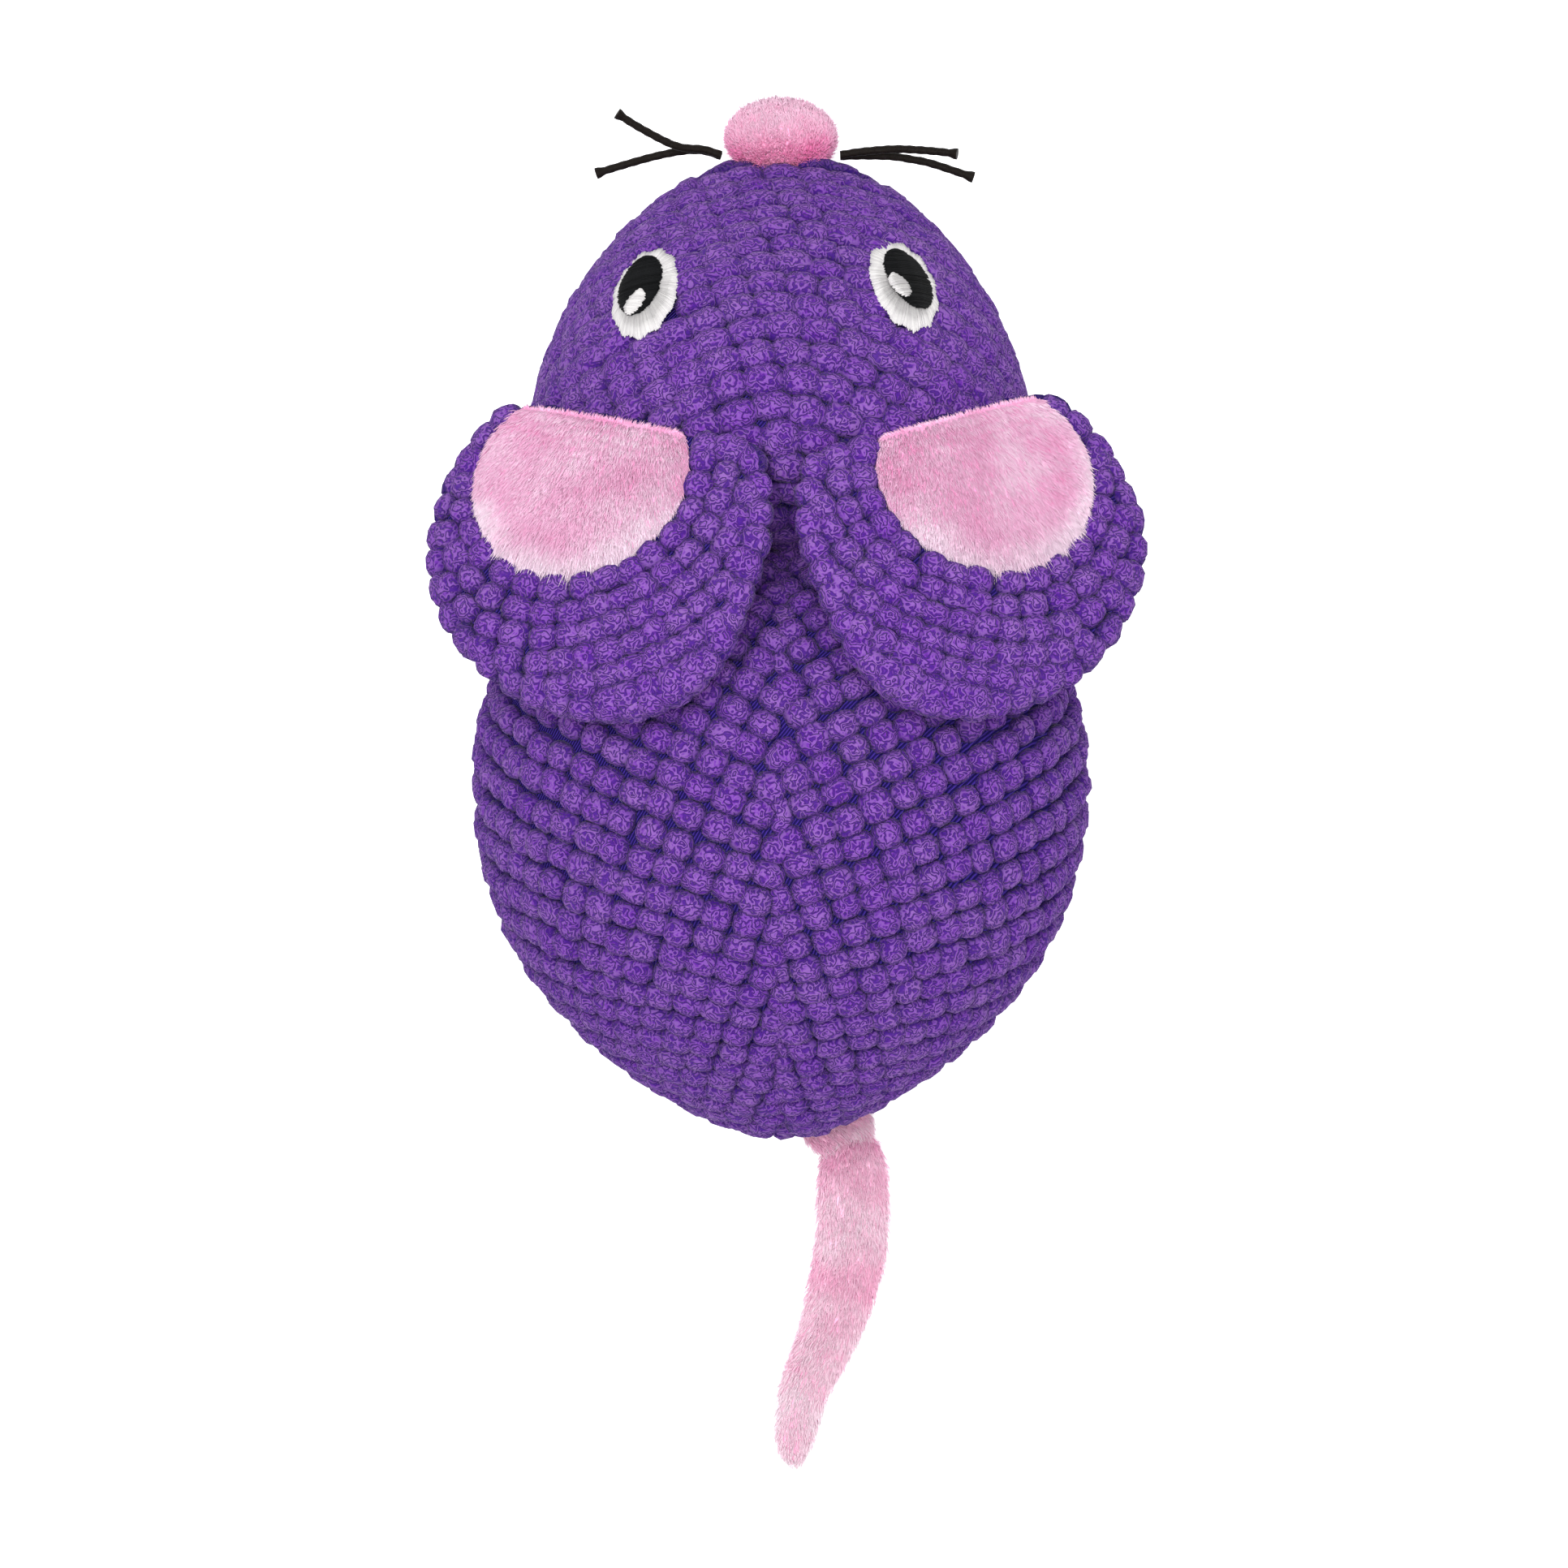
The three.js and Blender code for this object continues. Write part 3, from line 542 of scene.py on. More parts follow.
def panel_bobbles(panel, cloth, rows):
    """Bobbles over a panel, cut short where its seam crosses them."""
    along, out, turn = lattice(cloth, rows, 210.0)
    full = cloth["pitch"] / 2
    short = np.minimum(full, out / np.cos(turn) + cloth["over_seam"])
    half = (full + short) / 2
    along = along + (full - half) * np.sin(turn)
    out = out + (full - half) * np.cos(turn)
    keep = (half > 0.4 * full) & (out > 0) & (out < panel.width(along))
    keep &= (along > panel.seam[0]) & (along < panel.seam[-1])
    here, row, across, normal = frames_on(panel.point, along[keep], out[keep], turn[keep])
    normal *= np.sign(np.sum(normal * (here - panel.grid.mean(axis=(0, 1))), axis=1))[:, None]
    return here, row, across, normal, half[keep]


def bobble_part(cloth, here, row, across, normal, half):
    """A mesh part of bobbles that differ a little in size and lie, as soft ones do."""
    points, groups = BOBBLE
    count = len(here)
    lean = rng.normal(0, 0.1, (count, 2))
    size = 1 + rng.normal(0, 0.06, (count, 3))
    tilted = unit(normal + row * lean[:, :1] + across * lean[:, 1:])
    cut = np.clip(half / (cloth["pitch"] / 2), 0.6, 1)
    long = row * (half * cloth["plump"][0] * size[:, 0])[:, None]
    wide = across * (cloth["row"] / 2 * cloth["plump"][1] * size[:, 1])[:, None]
    tall = tilted * (BOBBLE_HEIGHT * cut * size[:, 2])[:, None]
    axes = np.stack([long, wide, tall], axis=2)
    offsets = np.einsum("nij,vj->nvi", axes, points)
    offsets *= 1 + rng.normal(0, 0.035, (count, len(points), 1))
    vertices = (here[:, None] + offsets).reshape(-1, 3)
    values = {
        "crown": np.tile(np.clip(points[:, 2] * 1.2, 0, 1), count),
        "east": np.tile(points[:, 0], count),
        "north": np.tile(points[:, 1], count),
        "tone": np.repeat(rng.uniform(0, 1, count), len(points)),
    }
    mirrored = np.median(np.linalg.det(axes)) < 0
    return vertices, copy_faces(groups, len(points), count, mirrored), 0, values


def chenille_finish():
    """Loops of chenille, with fine creases that wind round the middle of each bobble: the creases and each
    bobble's foot are darkened as painted shade, and the ridges between the creases are paler as painted
    highlights.
    """
    finish = Finish("chenille", Roughness=1.0, Specular_IOR_Level=0.1, Sheen_Weight=0.08, Sheen_Roughness=0.4)
    tone, east, north = (finish.attribute(name) for name in ("tone", "east", "north"))
    ring = (east * east + north * north).math("SQRT")
    winding = ring * 2.2 + tone * 9 + finish.noise(700.0, 1.0, 0.4) * 4.5
    wave = (winding * (2 * math.pi)).math("SINE")
    creases = (wave * 0.75).clipped()
    # Painted highlight: the ridges between the creases are paler, as if they caught the light. The rest of
    # the paleness is random tone per bobble and noise.
    ridge_highlight = (wave * -0.7 - 0.15).clipped()
    pale = (tone * 0.14 + finish.noise(300.0) * 0.4 + ridge_highlight * 0.55 - 0.2).clipped()
    loops = finish.mix(pale, srgb(107, 49, 160), srgb(158, 124, 176))
    # Painted shade: the fine creases are darkened as if lying in shade.
    crease_shaded = finish.mix(creases, loops, srgb(54, 21, 120))
    # Painted shade: each bobble darkens to near-black towards its foot, where the pits between bobbles lie in
    # shade.
    pit_shade = 1 - finish.attribute("crown").clipped()
    finish.colour(finish.mix(pit_shade * 0.85, crease_shaded, srgb(22, 8, 86)))
    finish.bump(1 - creases, 0.0004)
    return finish.material


CHENILLE = chenille_finish()
base = Finish("base_knit", Roughness=1.0, Specular_IOR_Level=0.1)
turned = base.node("ShaderNodeMapping", Vector=base.place(), Rotation=(0.3, 0.2, 0.7))
ribs = base.node("ShaderNodeTexWave", Vector=turned, Scale=600.0, Distortion=1.5, Detail=1.0, output=1)
KNIT = base.worked(ribs, srgb(24, 14, 78), srgb(70, 48, 150), 0.0003)


def knit_part(points, groups):
    """A mesh part of base knit."""
    return points, groups, 1, {key: np.zeros(len(points)) for key in ("crown", "east", "north", "tone")}


def grid_part(points):
    """A mesh part of base knit from a grid of points."""
    rows, columns = points.shape[:2]
    shape = bmesh.new()
    bmesh.ops.create_grid(shape, x_segments=columns - 1, y_segments=rows - 1, size=1.0)
    _, groups = template_of(shape)
    flat = points.reshape(-1, 3)
    return knit_part(flat, facing_out(flat, groups, flat.mean(axis=0) * np.array([0, 1, 1])))


def pouch_panel(node, pouch, side, cloth, rows, drop, low):
    """One side panel of a pouch: base knit with bobbles on it, less those that drop says are hidden."""
    panel = Panel(pouch, side, cloth["swell"])
    bobbles = panel_bobbles(panel, cloth, rows)
    keep = ~drop(bobbles[0]) & (bobbles[0][:, 2] > low + BOBBLE_HEIGHT)
    knit = panel.grid[::4, ::4].copy()
    knit[..., 2] = np.maximum(knit[..., 2], low)
    parts = [bobble_part(cloth, *(b[keep] for b in bobbles)), grid_part(knit)]
    torso_piece(mesh_of(f"{node}_plush", parts, [CHENILLE, KNIT]), node)


BODY_CLOTH = {
    "pitch": 5.6,
    "row": 4.8,
    "turn": (11, 34),
    "over": (-70, 45),
    "over_seam": 1.5,
    "plump": (1.2, 1.22),
}
BODY_LOW = 2.4
COVERED = -1.5


def in_head(points):
    """Which bobbles the head covers."""
    return inside_pouch(HEAD, points, COVERED)


swell = swelling(BODY, BODY_LOW, True)
for side, name, start in ((-1, "left", (0.0, 0.0)), (1, "right", (1.4, 1.2))):
    cloth = {**BODY_CLOTH, "start": start, "swell": swell}
    pouch_panel(f"body_{name}_panel", BODY, side, cloth, turning_rows, in_head, BODY_LOW)


# Belly: one flat oval of the same cloth, bobbles down, which the toy rests on. It is sewn to both side
# panels and closes the body below.

cloth = {**BODY_CLOTH, "turn": (0, 0), "start": (0.0, 0.0)}
along, out, _ = lattice(cloth, turning_rows, 75.0)
keep = inside_pouch(BODY, np.stack([out, along, np.full(len(out), 3.0)], axis=1), -1.2)
count = int(keep.sum())
here = np.stack([out[keep], along[keep], np.full(count, BOBBLE_HEIGHT + 0.3)], axis=1)
axes = [np.tile(axis, (count, 1)) for axis in ((1.0, 0, 0), (0, -1.0, 0), (0, 0, -1.0))]
bobbles = bobble_part(cloth, here, *axes, np.full(count, cloth["pitch"] / 2))
knit = skin_of(oval_form(np.array([35.5, 42.6, 0.5]), np.array([0, -15.0, 2.8])), 48, 24)
belly = mesh_of("belly_panel_plush", [bobbles, knit_part(*knit)], [CHENILLE, KNIT])
torso_piece(belly, "belly_panel")


# Head: two panels like the body's, sewn to it round the neck. Here the rows arch over from side to side,
# and the bobbles of the left panel hide the seam.

HEAD_CLOTH = {
    "pitch": 6.5,
    "row": 5.4,
    "arch": math.tan(math.radians(32)),
    "level": 12.0,
    "over_seam": 6.5,
    "plump": (1.3, 1.2),
    "start": (0.0, 0.0),
}
HEAD_LOW = 0.4
SNOUT_TIP = np.array([0.0, 112.8, 26.0])


def arched_rows(cloth, along_row, across_row):
    """Rows that cross the seam squarely and bend away from the nose on both sides of it."""
    reach = np.linspace(0, 200, 801)
    drop = cloth["arch"] * (np.hypot(reach, cloth["level"]) - cloth["level"])
    length = run_along(np.stack([reach, drop], axis=1))
    along_row = along_row + cloth["lean"] * across_row
    along_row = np.where(np.abs(along_row) < 0.7, np.abs(along_row) + 0.01, along_row)
    out = np.interp(along_row, length, reach, left=-1000.0)
    turn = -np.arctan(cloth["arch"] * out / np.hypot(out, cloth["level"]))
    return across_row - np.interp(out, reach, drop), out, turn


def head_place(behind_snout, angle, side):
    """A place on the head behind the snout tip and an angle up from its waist, and a frame there."""
    reach = HEAD["front"]["reach"]
    t = (reach - behind_snout) / reach

    def at(step, turn):
        return pouch_point(HEAD, t + step, math.radians(angle + turn)) * np.array([side, 1, 1])

    ahead = unit(at(0.01, 0) - at(-0.01, 0))
    around = unit(at(0, 1) - at(0, -1))
    out = unit(np.cross(ahead, around) * side)
    return at(0, 0), np.cross(out, ahead), ahead, out


EYES = {
    "left": {"side": -1, "place": (27.6, 52.2, -14.7), "pupil": (-0.8, 1.5, 3.5), "glint": (-0.5, -5.1, 23)},
    "right": {"side": 1, "place": (26.2, 55.6, 9.1), "pupil": (-0.8, 1, -10.9), "glint": (2.3, -3.1, -22.5)},
}
EYE_SIZE = (6.8, 12.0)


def eye_frame(eye):
    """The middle of an eye on the head, and its axes across, along and out."""
    behind, angle, turn = eye["place"]
    here, across, ahead, out = head_place(behind, angle, eye["side"])
    turn = math.radians(turn)
    turned = across * math.cos(turn) + ahead * math.sin(turn)
    return here, turned, ahead * math.cos(turn) - across * math.sin(turn), out


def under_eye(points):
    """Which bobbles an eye is stitched over."""
    hidden = np.zeros(len(points), bool)
    for eye in EYES.values():
        here, across, along, _ = eye_frame(eye)
        away = points - here
        plan = (away @ across / EYE_SIZE[0]) ** 2 + (away @ along / EYE_SIZE[1]) ** 2
        hidden |= (plan < 0.66) & (np.linalg.norm(away, axis=1) < 16)
    return hidden


def out_of_head(points):
    """Which bobbles the body or an eye covers."""
    return inside_pouch(BODY, points, COVERED) | under_eye(points)


swell = swelling(HEAD, HEAD_LOW, False)
for side, name in ((-1, "left"), (1, "right")):
    cloth = {**HEAD_CLOTH, "lean": -0.28 * side, "swell": swell}
    pouch_panel(f"head_{name}_panel", HEAD, side, cloth, arched_rows, out_of_head, HEAD_LOW)


# Nose: a ball of short pink pile, gathered over its own stuffing and sewn to the tip of the snout. The pile
# lies forward.

PILE_THICK = 0.1


def drawn_out(segments, first, levels):
    """A round bar drawn out from a ring of unit points, through heights with a width at each."""
    shape = bmesh.new()
    ring = bmesh.ops.create_circle(shape, cap_ends=True, segments=segments, radius=first[1])["verts"]
    bmesh.ops.translate(shape, verts=ring, vec=(0, 0, first[0]))
    top = ring[0].link_faces[0]
    for level, (height, width) in enumerate(levels):
        made = bmesh.ops.extrude_face_region(shape, geom=[top], use_keep_orig=level == 0)["geom"]
        top = next(g for g in made if isinstance(g, bmesh.types.BMFace))
        for v in top.verts:
            v.co = Vector((*(v.co.xy.normalized() * width), height))
    bmesh.ops.recalc_face_normals(shape, faces=shape.faces[:])
    return template_of(shape)


FIBRE = drawn_out(3, (0.0, 1.0), [(0.5, 0.85), (1.0, 0.25)])


def pile_part(roots, normals, lay, length, lift, tone):
    """A mesh part of fibres that rise from their roots and bend over the way the pile lies."""
    points, groups = FIBRE
    count = len(roots)
    lay = unit(lay + rng.normal(0, 0.16, (count, 3)))
    side = unit(np.cross(normals, lay))
    z = points[:, 2]
    up = (length * lift)[:, None] * (z * (1.5 - 0.5 * z))[None]
    over = (length * np.sqrt(1 - lift**2))[:, None] * (z * (0.5 + 0.5 * z))[None]
    vertices = roots[:, None] + normals[:, None] * up[..., None] + lay[:, None] * over[..., None]
    vertices += side[:, None] * (points[:, 0] * PILE_THICK)[None, :, None]
    vertices += normals[:, None] * (points[:, 1] * PILE_THICK)[None, :, None]
    shade = np.clip(tone + rng.normal(0, 0.1, count), 0, 1)
    values = {"along": np.tile(z, count), "tone": np.repeat(shade, len(points))}
    return vertices.reshape(-1, 3), copy_faces(groups, len(points), count), 0, values


def along_skin(ways, normals):
    """Directions turned to lie along a skin."""
    return ways - normals * np.sum(ways * normals, axis=1)[:, None]


def scattered(points, groups, density):
    """Seeded places over a skin, with their normals."""
    triangles = np.concatenate([g[:, [0, k, k + 1]] for g in groups for k in range(1, g.shape[1] - 1)])
    a, b, c = (points[triangles[:, k]] for k in (0, 1, 2))
    area = np.linalg.norm(np.cross(b - a, c - a), axis=1) / 2
    count = int(area.sum() * density)
    picked = triangles[np.sort(rng.choice(len(area), count, p=area / area.sum()))]
    u, v = rng.uniform(0, 1, (2, count))
    u, v = np.where(u + v > 1, 1 - u, u), np.where(u + v > 1, 1 - v, v)
    shares = np.stack([1 - u - v, u, v], axis=1)[:, :, None]
    normals = skin_normals(points, groups)
    return np.sum(points[picked] * shares, axis=1), unit(np.sum(normals[picked] * shares, axis=1))


def pile_base(points, groups, tone):
    """A mesh part of the cloth that pile stands on."""
    return points, groups, 0, {"along": np.zeros(len(points)), "tone": np.full(len(points), tone)}


def pile_finish(name, deep, middle, pale):
    finish = Finish(name, Roughness=0.8, Sheen_Weight=0.25, Sheen_Roughness=0.5)
    finish.shader.inputs["Sheen Tint"].default_value = srgb(255, 225, 240)
    tone = finish.attribute("tone") + (finish.noise(110.0, 2.0) - 0.5) * 1.1
    share = (tone + finish.attribute("along") * 0.25 - 0.12).clipped()
    low = finish.mix((share * 2).clipped(), deep, middle)
    finish.colour(finish.mix((share * 2 - 1).clipped(), low, pale))
    finish.bump(finish.noise(1500.0, 2.0), 0.0002, 0.6)
    return finish.material


NOSE_PLUSH = pile_finish("nose_pile", srgb(244, 122, 184), srgb(250, 184, 216), srgb(253, 216, 236))
NOSE_SIZE = np.array([10.9, 7.6, 9.0])
NOSE_CENTRE = SNOUT_TIP + np.array([0.0, 3.6, 0.0])

filling("nose_stuffing", oval_form(NOSE_SIZE - 3.2, NOSE_CENTRE))
points, groups = skin_of(oval_form(NOSE_SIZE - 0.95, NOSE_CENTRE), 40, 24)
points = pressed_out(points, groups, points[:, 1] < NOSE_CENTRE[1] - 0.6 * NOSE_SIZE[1], 0.5)
roots, normals = scattered(points, groups, 20.0)
clear = ~inside_pouch(HEAD, roots, -1.0)
roots, normals = roots[clear], normals[clear]
lay = np.tile(np.array([0.0, 0.8, 0.3]), (len(roots), 1))
lay = unit(along_skin(lay, normals) + rng.normal(0, 0.3, lay.shape))
tone = 0.1 + 0.7 * smooth((roots - NOSE_CENTRE)[:, 1] / NOSE_SIZE[1], -0.6, 0.4)
pile = pile_part(roots, normals, lay, rng.uniform(0.9, 1.5, len(roots)), np.full(len(roots), 0.3), tone)
nose = mesh_of("nose_ball", [pile_base(points, groups, 0.5), pile], [NOSE_PLUSH])
torso_piece(nose, "nose_cover")


# Eyes: satin stitch through the plush. White threads run out from the middle, black ones lie across the
# pupil, and a few white ones make the glint.

THREAD_RADIUS = 0.24
THREAD = drawn_out(6, (-1.0, 0.4), [(-0.85, 0.9), (-0.3, 1.0), (0.3, 1.0), (0.85, 0.9), (1.0, 0.4)])


def drop_on(pouch, points, direction):
    """Where points come to lie on a pouch when they are moved along a direction."""

    def within(far):
        return inside_pouch(pouch, points + far[:, None] * direction, 0.0)

    return points + farthest(within, -12.0, 12.0, len(points))[:, None] * direction


def stitch_part(eye, ends, height, radius, arch):
    """A mesh part of stitches on the head, between places given as distances across and along an eye."""
    points, groups = THREAD
    count = len(ends[0])
    half = (ends[1] - ends[0]) / 2
    square = unit(np.stack([-half[:, 1], half[:, 0]], axis=1))
    flat = (ends[0] + half)[:, None] + half[:, None] * points[None, :, 2:3]
    flat = (flat + square[:, None] * radius * points[None, :, :1]).reshape(-1, 2)
    rise = height + radius * points[None, :, 1] + arch * (1 - points[None, :, 2] ** 2)
    rise = (rise + rng.normal(0, 0.05, (count, 1))).reshape(-1, 1)
    here, across, along, out = eye_frame(eye)
    vertices = drop_on(HEAD, here + flat[:, :1] * across + flat[:, 1:] * along, out) + rise * out
    strand = np.repeat(rng.uniform(0, 1, count), len(points))
    values = {"strand": strand, "along": np.tile(points[:, 2], count)}
    mirrored = np.cross(across, along) @ out < 0
    return vertices, copy_faces(groups, len(points), count, mirrored), 0, values


def thread_finish(name, low, high):
    finish = Finish(name, Roughness=0.6, Specular_IOR_Level=0.08)
    shade = finish.mix(finish.attribute("strand"), low, high)
    ends = (finish.attribute("along").math("ABSOLUTE") - 0.55).clipped()
    finish.colour(finish.mix(ends * 0.6, shade, low))
    finish.bump(finish.noise(2600.0, 2.0), 0.0001, 0.7)
    return finish.material


WHITE_THREAD = thread_finish("white_thread", srgb(198, 195, 196), srgb(217, 215, 214))
BLACK_THREAD = thread_finish("black_thread", srgb(5, 6, 7), srgb(20, 21, 23))
PUPIL_SIZE = (4.4, 7.8)
GLINT_SIZE = (1.9, 2.9)


def eye_piece(node, part, material):
    torso_piece(mesh_of(f"{node}_stitches", [part], [material]), node)


def rows_across(size, centre, turn, count, ragged):
    """Ends of parallel stitches that fill a turned oval."""
    turned = np.array([math.cos(turn), math.sin(turn)]), np.array([-math.sin(turn), math.cos(turn)])
    steps = np.linspace(-0.97, 0.97, count)[:, None]
    reach = np.sqrt(1 - steps**2) * size[0] * turned[0]
    middle = centre + steps * size[1] * turned[1]
    stretch = 1 + rng.normal(0, ragged, (2, count, 1))
    return middle - reach * stretch[0], middle + reach * stretch[1]


for name, eye in EYES.items():
    mirror = np.array([eye["side"], 1.0])
    pupil = np.array(eye["pupil"][:2]) * mirror
    glint = pupil + np.array(eye["glint"][:2]) * mirror
    pupil_turn, glint_turn = (math.radians(eye[key][2]) for key in ("pupil", "glint"))
    turns = np.linspace(0, 2 * math.pi, 190, endpoint=False)
    rays = np.stack([np.cos(turns), np.sin(turns)], axis=1)
    ragged = 0.97 + rng.normal(0, 0.015, (len(turns), 1)) + 0.03 * np.sin(turns * 11 + eye["side"])[:, None]
    ends = (pupil * 0.8 + rays * np.array(PUPIL_SIZE) * 0.5, rays * np.array(EYE_SIZE) * ragged)
    white = stitch_part(eye, ends, 0.3, THREAD_RADIUS * 1.15, 0.3)
    eye_piece(f"{name}_eye_white", white, WHITE_THREAD)
    black = stitch_part(eye, rows_across(PUPIL_SIZE, pupil, pupil_turn, 44, 0.02), 0.9, THREAD_RADIUS, 0.3)
    eye_piece(f"{name}_eye_pupil", black, BLACK_THREAD)
    spot = stitch_part(eye, rows_across(GLINT_SIZE, glint, glint_turn, 16, 0.05), 1.4, THREAD_RADIUS, 0.25)
    eye_piece(f"{name}_eye_glint", spot, WHITE_THREAD)


# Ears: padded ovals of bobble plush sewn to the head along a straight root. A lining of longer pink pile is
# let into the front, brushed towards the tip so that it hangs over its lower edge.

EARS = {"left": {"side": -1, "yaw": 11.0}, "right": {"side": 1, "yaw": 16.0}}
EAR_HALF_WIDTH = 32.6
EAR_HALF_LENGTH = 33.0
EAR_CENTRE = 22.0
EAR_TIP_INWARD = 6.5
EAR_CLOTH = {"pitch": 5.2, "row": 4.5, "plump": (1.26, 1.24)}
LINING_SIZE = (20.5, 19.0)
LINING_SHIFT = 5.2
LINING_FROM_ROOT = 11.5
EAR_PLUSH = pile_finish("lining_pile", srgb(233, 146, 194), srgb(239, 184, 217), srgb(250, 228, 242))


def ear_width(t, inset):
    return np.maximum((EAR_HALF_WIDTH - inset) * fullness(t, (2.3, 0.5)), 1e-6)


def ear_lean(y, inset):
    """How far inward an ear's middle line has come at a distance from its root."""
    return EAR_TIP_INWARD * np.clip((y - EAR_CENTRE) / (EAR_HALF_LENGTH - inset), 0, 1) ** 1.5


def ear_height(x, y, inset):
    """How far an ear's face lies from its middle, at places across its middle line and along it."""
    t = np.clip((y - EAR_CENTRE) / (EAR_HALF_LENGTH - inset), -1, 1)
    thick = 3.6 + 2.4 * smooth(t, -1, 0.2) - inset
    across = np.clip(np.abs(x) / ear_width(t, inset), 0, 1) ** (2 / 0.9)
    return thick * fullness(t, (6, 0.5)) * np.maximum(1 - across, 0) ** 0.375


def ear_outline(turn, inset):
    """How far an ear reaches from its middle in a direction."""

    def within(far):
        t = far * np.sin(turn) / (EAR_HALF_LENGTH - inset)
        return (np.abs(t) < 1) & (np.abs(far * np.cos(turn)) < ear_width(t, inset))

    return farthest(within, 0.0, 50.0, len(turn))


class EarFace:
    """One face of an ear laid flat round its middle, down to the seam round its rim."""

    def __init__(self, face, side, inset):
        self.turns = np.linspace(-math.pi, math.pi, 241)
        reach = ear_outline(self.turns, inset)
        shares = np.sin(np.linspace(0, math.pi / 2, 90))
        x = reach[:, None] * shares * np.cos(self.turns)[:, None]
        y = reach[:, None] * shares * np.sin(self.turns)[:, None] + EAR_CENTRE
        z = ear_height(x, y, inset)
        z[:, -1] = 0
        self.grid = np.stack([x + side * ear_lean(y, inset), y, z * face], axis=2)
        self.out = np.array([run_along(row) for row in self.grid])

    def place(self, along, out):
        turn = np.arctan2(along - EAR_CENTRE, out)
        return np.interp(turn, self.turns, np.arange(len(self.turns))), np.hypot(along - EAR_CENTRE, out)

    def point(self, along, out):
        return on_grid(self, *self.place(along, out))


def along_curve(curve, pitch, shift):
    """Bobble places along a closed curve in the flat, with the curve's direction there."""
    length = run_along(curve)
    count = max(int(length[-1] / pitch), 1)
    spots = (np.arange(count) + shift + rng.normal(0, 0.05, count)) % count * length[-1] / count
    way = np.gradient(curve, axis=0)
    turn = np.unwrap(np.arctan2(way[:, 0], way[:, 1]))
    return np.array([np.interp(spots, length, v) for v in (curve[:, 0], curve[:, 1], turn)])


def ear_rows(form, side, face):
    """Bobble places on an ear: a row round the rim, then rows that follow the lining or, behind, the rim."""
    reach = form.out[:, -1]
    places = []
    for ring in range(9):
        if face > 0 and ring > 0:
            grow = (ring - 0.4) * EAR_CLOTH["row"]
            x = (LINING_SIZE[0] + grow) * np.cos(form.turns) - side * LINING_SHIFT
            y = (LINING_SIZE[1] + grow) * np.sin(form.turns) + LINING_FROM_ROOT
        else:
            distance = np.maximum(reach - (ring + 0.45) * EAR_CLOTH["row"], 0.1)
            x = distance * np.cos(form.turns)
            y = distance * np.sin(form.turns) + EAR_CENTRE
        spots = along_curve(np.stack([y, x], axis=1), EAR_CLOTH["pitch"], 0.5 * (ring % 2))
        row, away = form.place(spots[0], spots[1])
        margin = np.interp(row, np.arange(len(reach)), reach) - away
        keep = spots[0] > -0.5
        if face > 0:
            keep &= ~in_lining(spots[1], spots[0], side, 1.0)
            keep &= (margin > 0.8 * EAR_CLOTH["row"]) | (ring == 0)
        places.append(spots[:, keep])
    x = np.arange(-0.66 * EAR_HALF_WIDTH, 0.68 * EAR_HALF_WIDTH, EAR_CLOTH["pitch"])
    root = np.stack([np.full_like(x, 1.2), x, np.zeros_like(x)])
    places.append(root[:, ~in_lining(x, 1.2, side, 1.0) | (face < 0)])
    return np.concatenate(places, axis=1)


def ear_frame(ear):
    """An ear's frame at its root: x along the root, y to the tip, z out of the lined face."""
    here = head_place(53.0, 57.0, ear["side"])[0]
    angles = (15.0, -24.0 * ear["side"], 180.0 + ear["side"] * ear["yaw"])
    return here, np.array(Euler([math.radians(a) for a in angles]).to_matrix())


def in_lining(x, y, side, grow):
    across = (x + side * LINING_SHIFT) / (LINING_SIZE[0] + grow)
    return across**2 + ((y - LINING_FROM_ROOT) / (LINING_SIZE[1] + grow)) ** 2 < 1


def ear_piece(name, node, parts, materials):
    """A piece of an ear made in its own frame and moved to its place."""
    origin, axes = ear_frame(EARS[name])
    moved = [(p[0] @ axes.T + origin, *p[1:]) for p in parts]
    made = mesh_of(f"{name}_ear_{node}_plush", moved, materials)
    start, end = (Vector((origin + axes @ np.array([0, y, 0])) * MILLIMETRE) for y in (-1.0, 9.0))
    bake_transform(made)
    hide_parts(f"{name}_ear_{node}")


def ear_face(name, node, face):
    """The front or the back of an ear, in bobble plush."""
    side = EARS[name]["side"]
    form = EarFace(face, side, 0.6)
    here, row, across, normal = frames_on(form.point, *ear_rows(form, side, face))
    normal *= np.sign(np.sum(normal * (here - np.array([0, EAR_CENTRE, -3 * face])), axis=1))[:, None]
    here = here - normal * (CLOTH_INSET - 0.6)
    bobbles = bobble_part(EAR_CLOTH, here, row, across, normal, np.full(len(here), EAR_CLOTH["pitch"] / 2))
    knit = EarFace(face, side, CLOTH_INSET).grid[::2, ::6].copy()
    knit[..., 1] = np.maximum(knit[..., 1], 0.4)
    ear_piece(name, node, [bobbles, grid_part(knit)], [CHENILLE, KNIT])


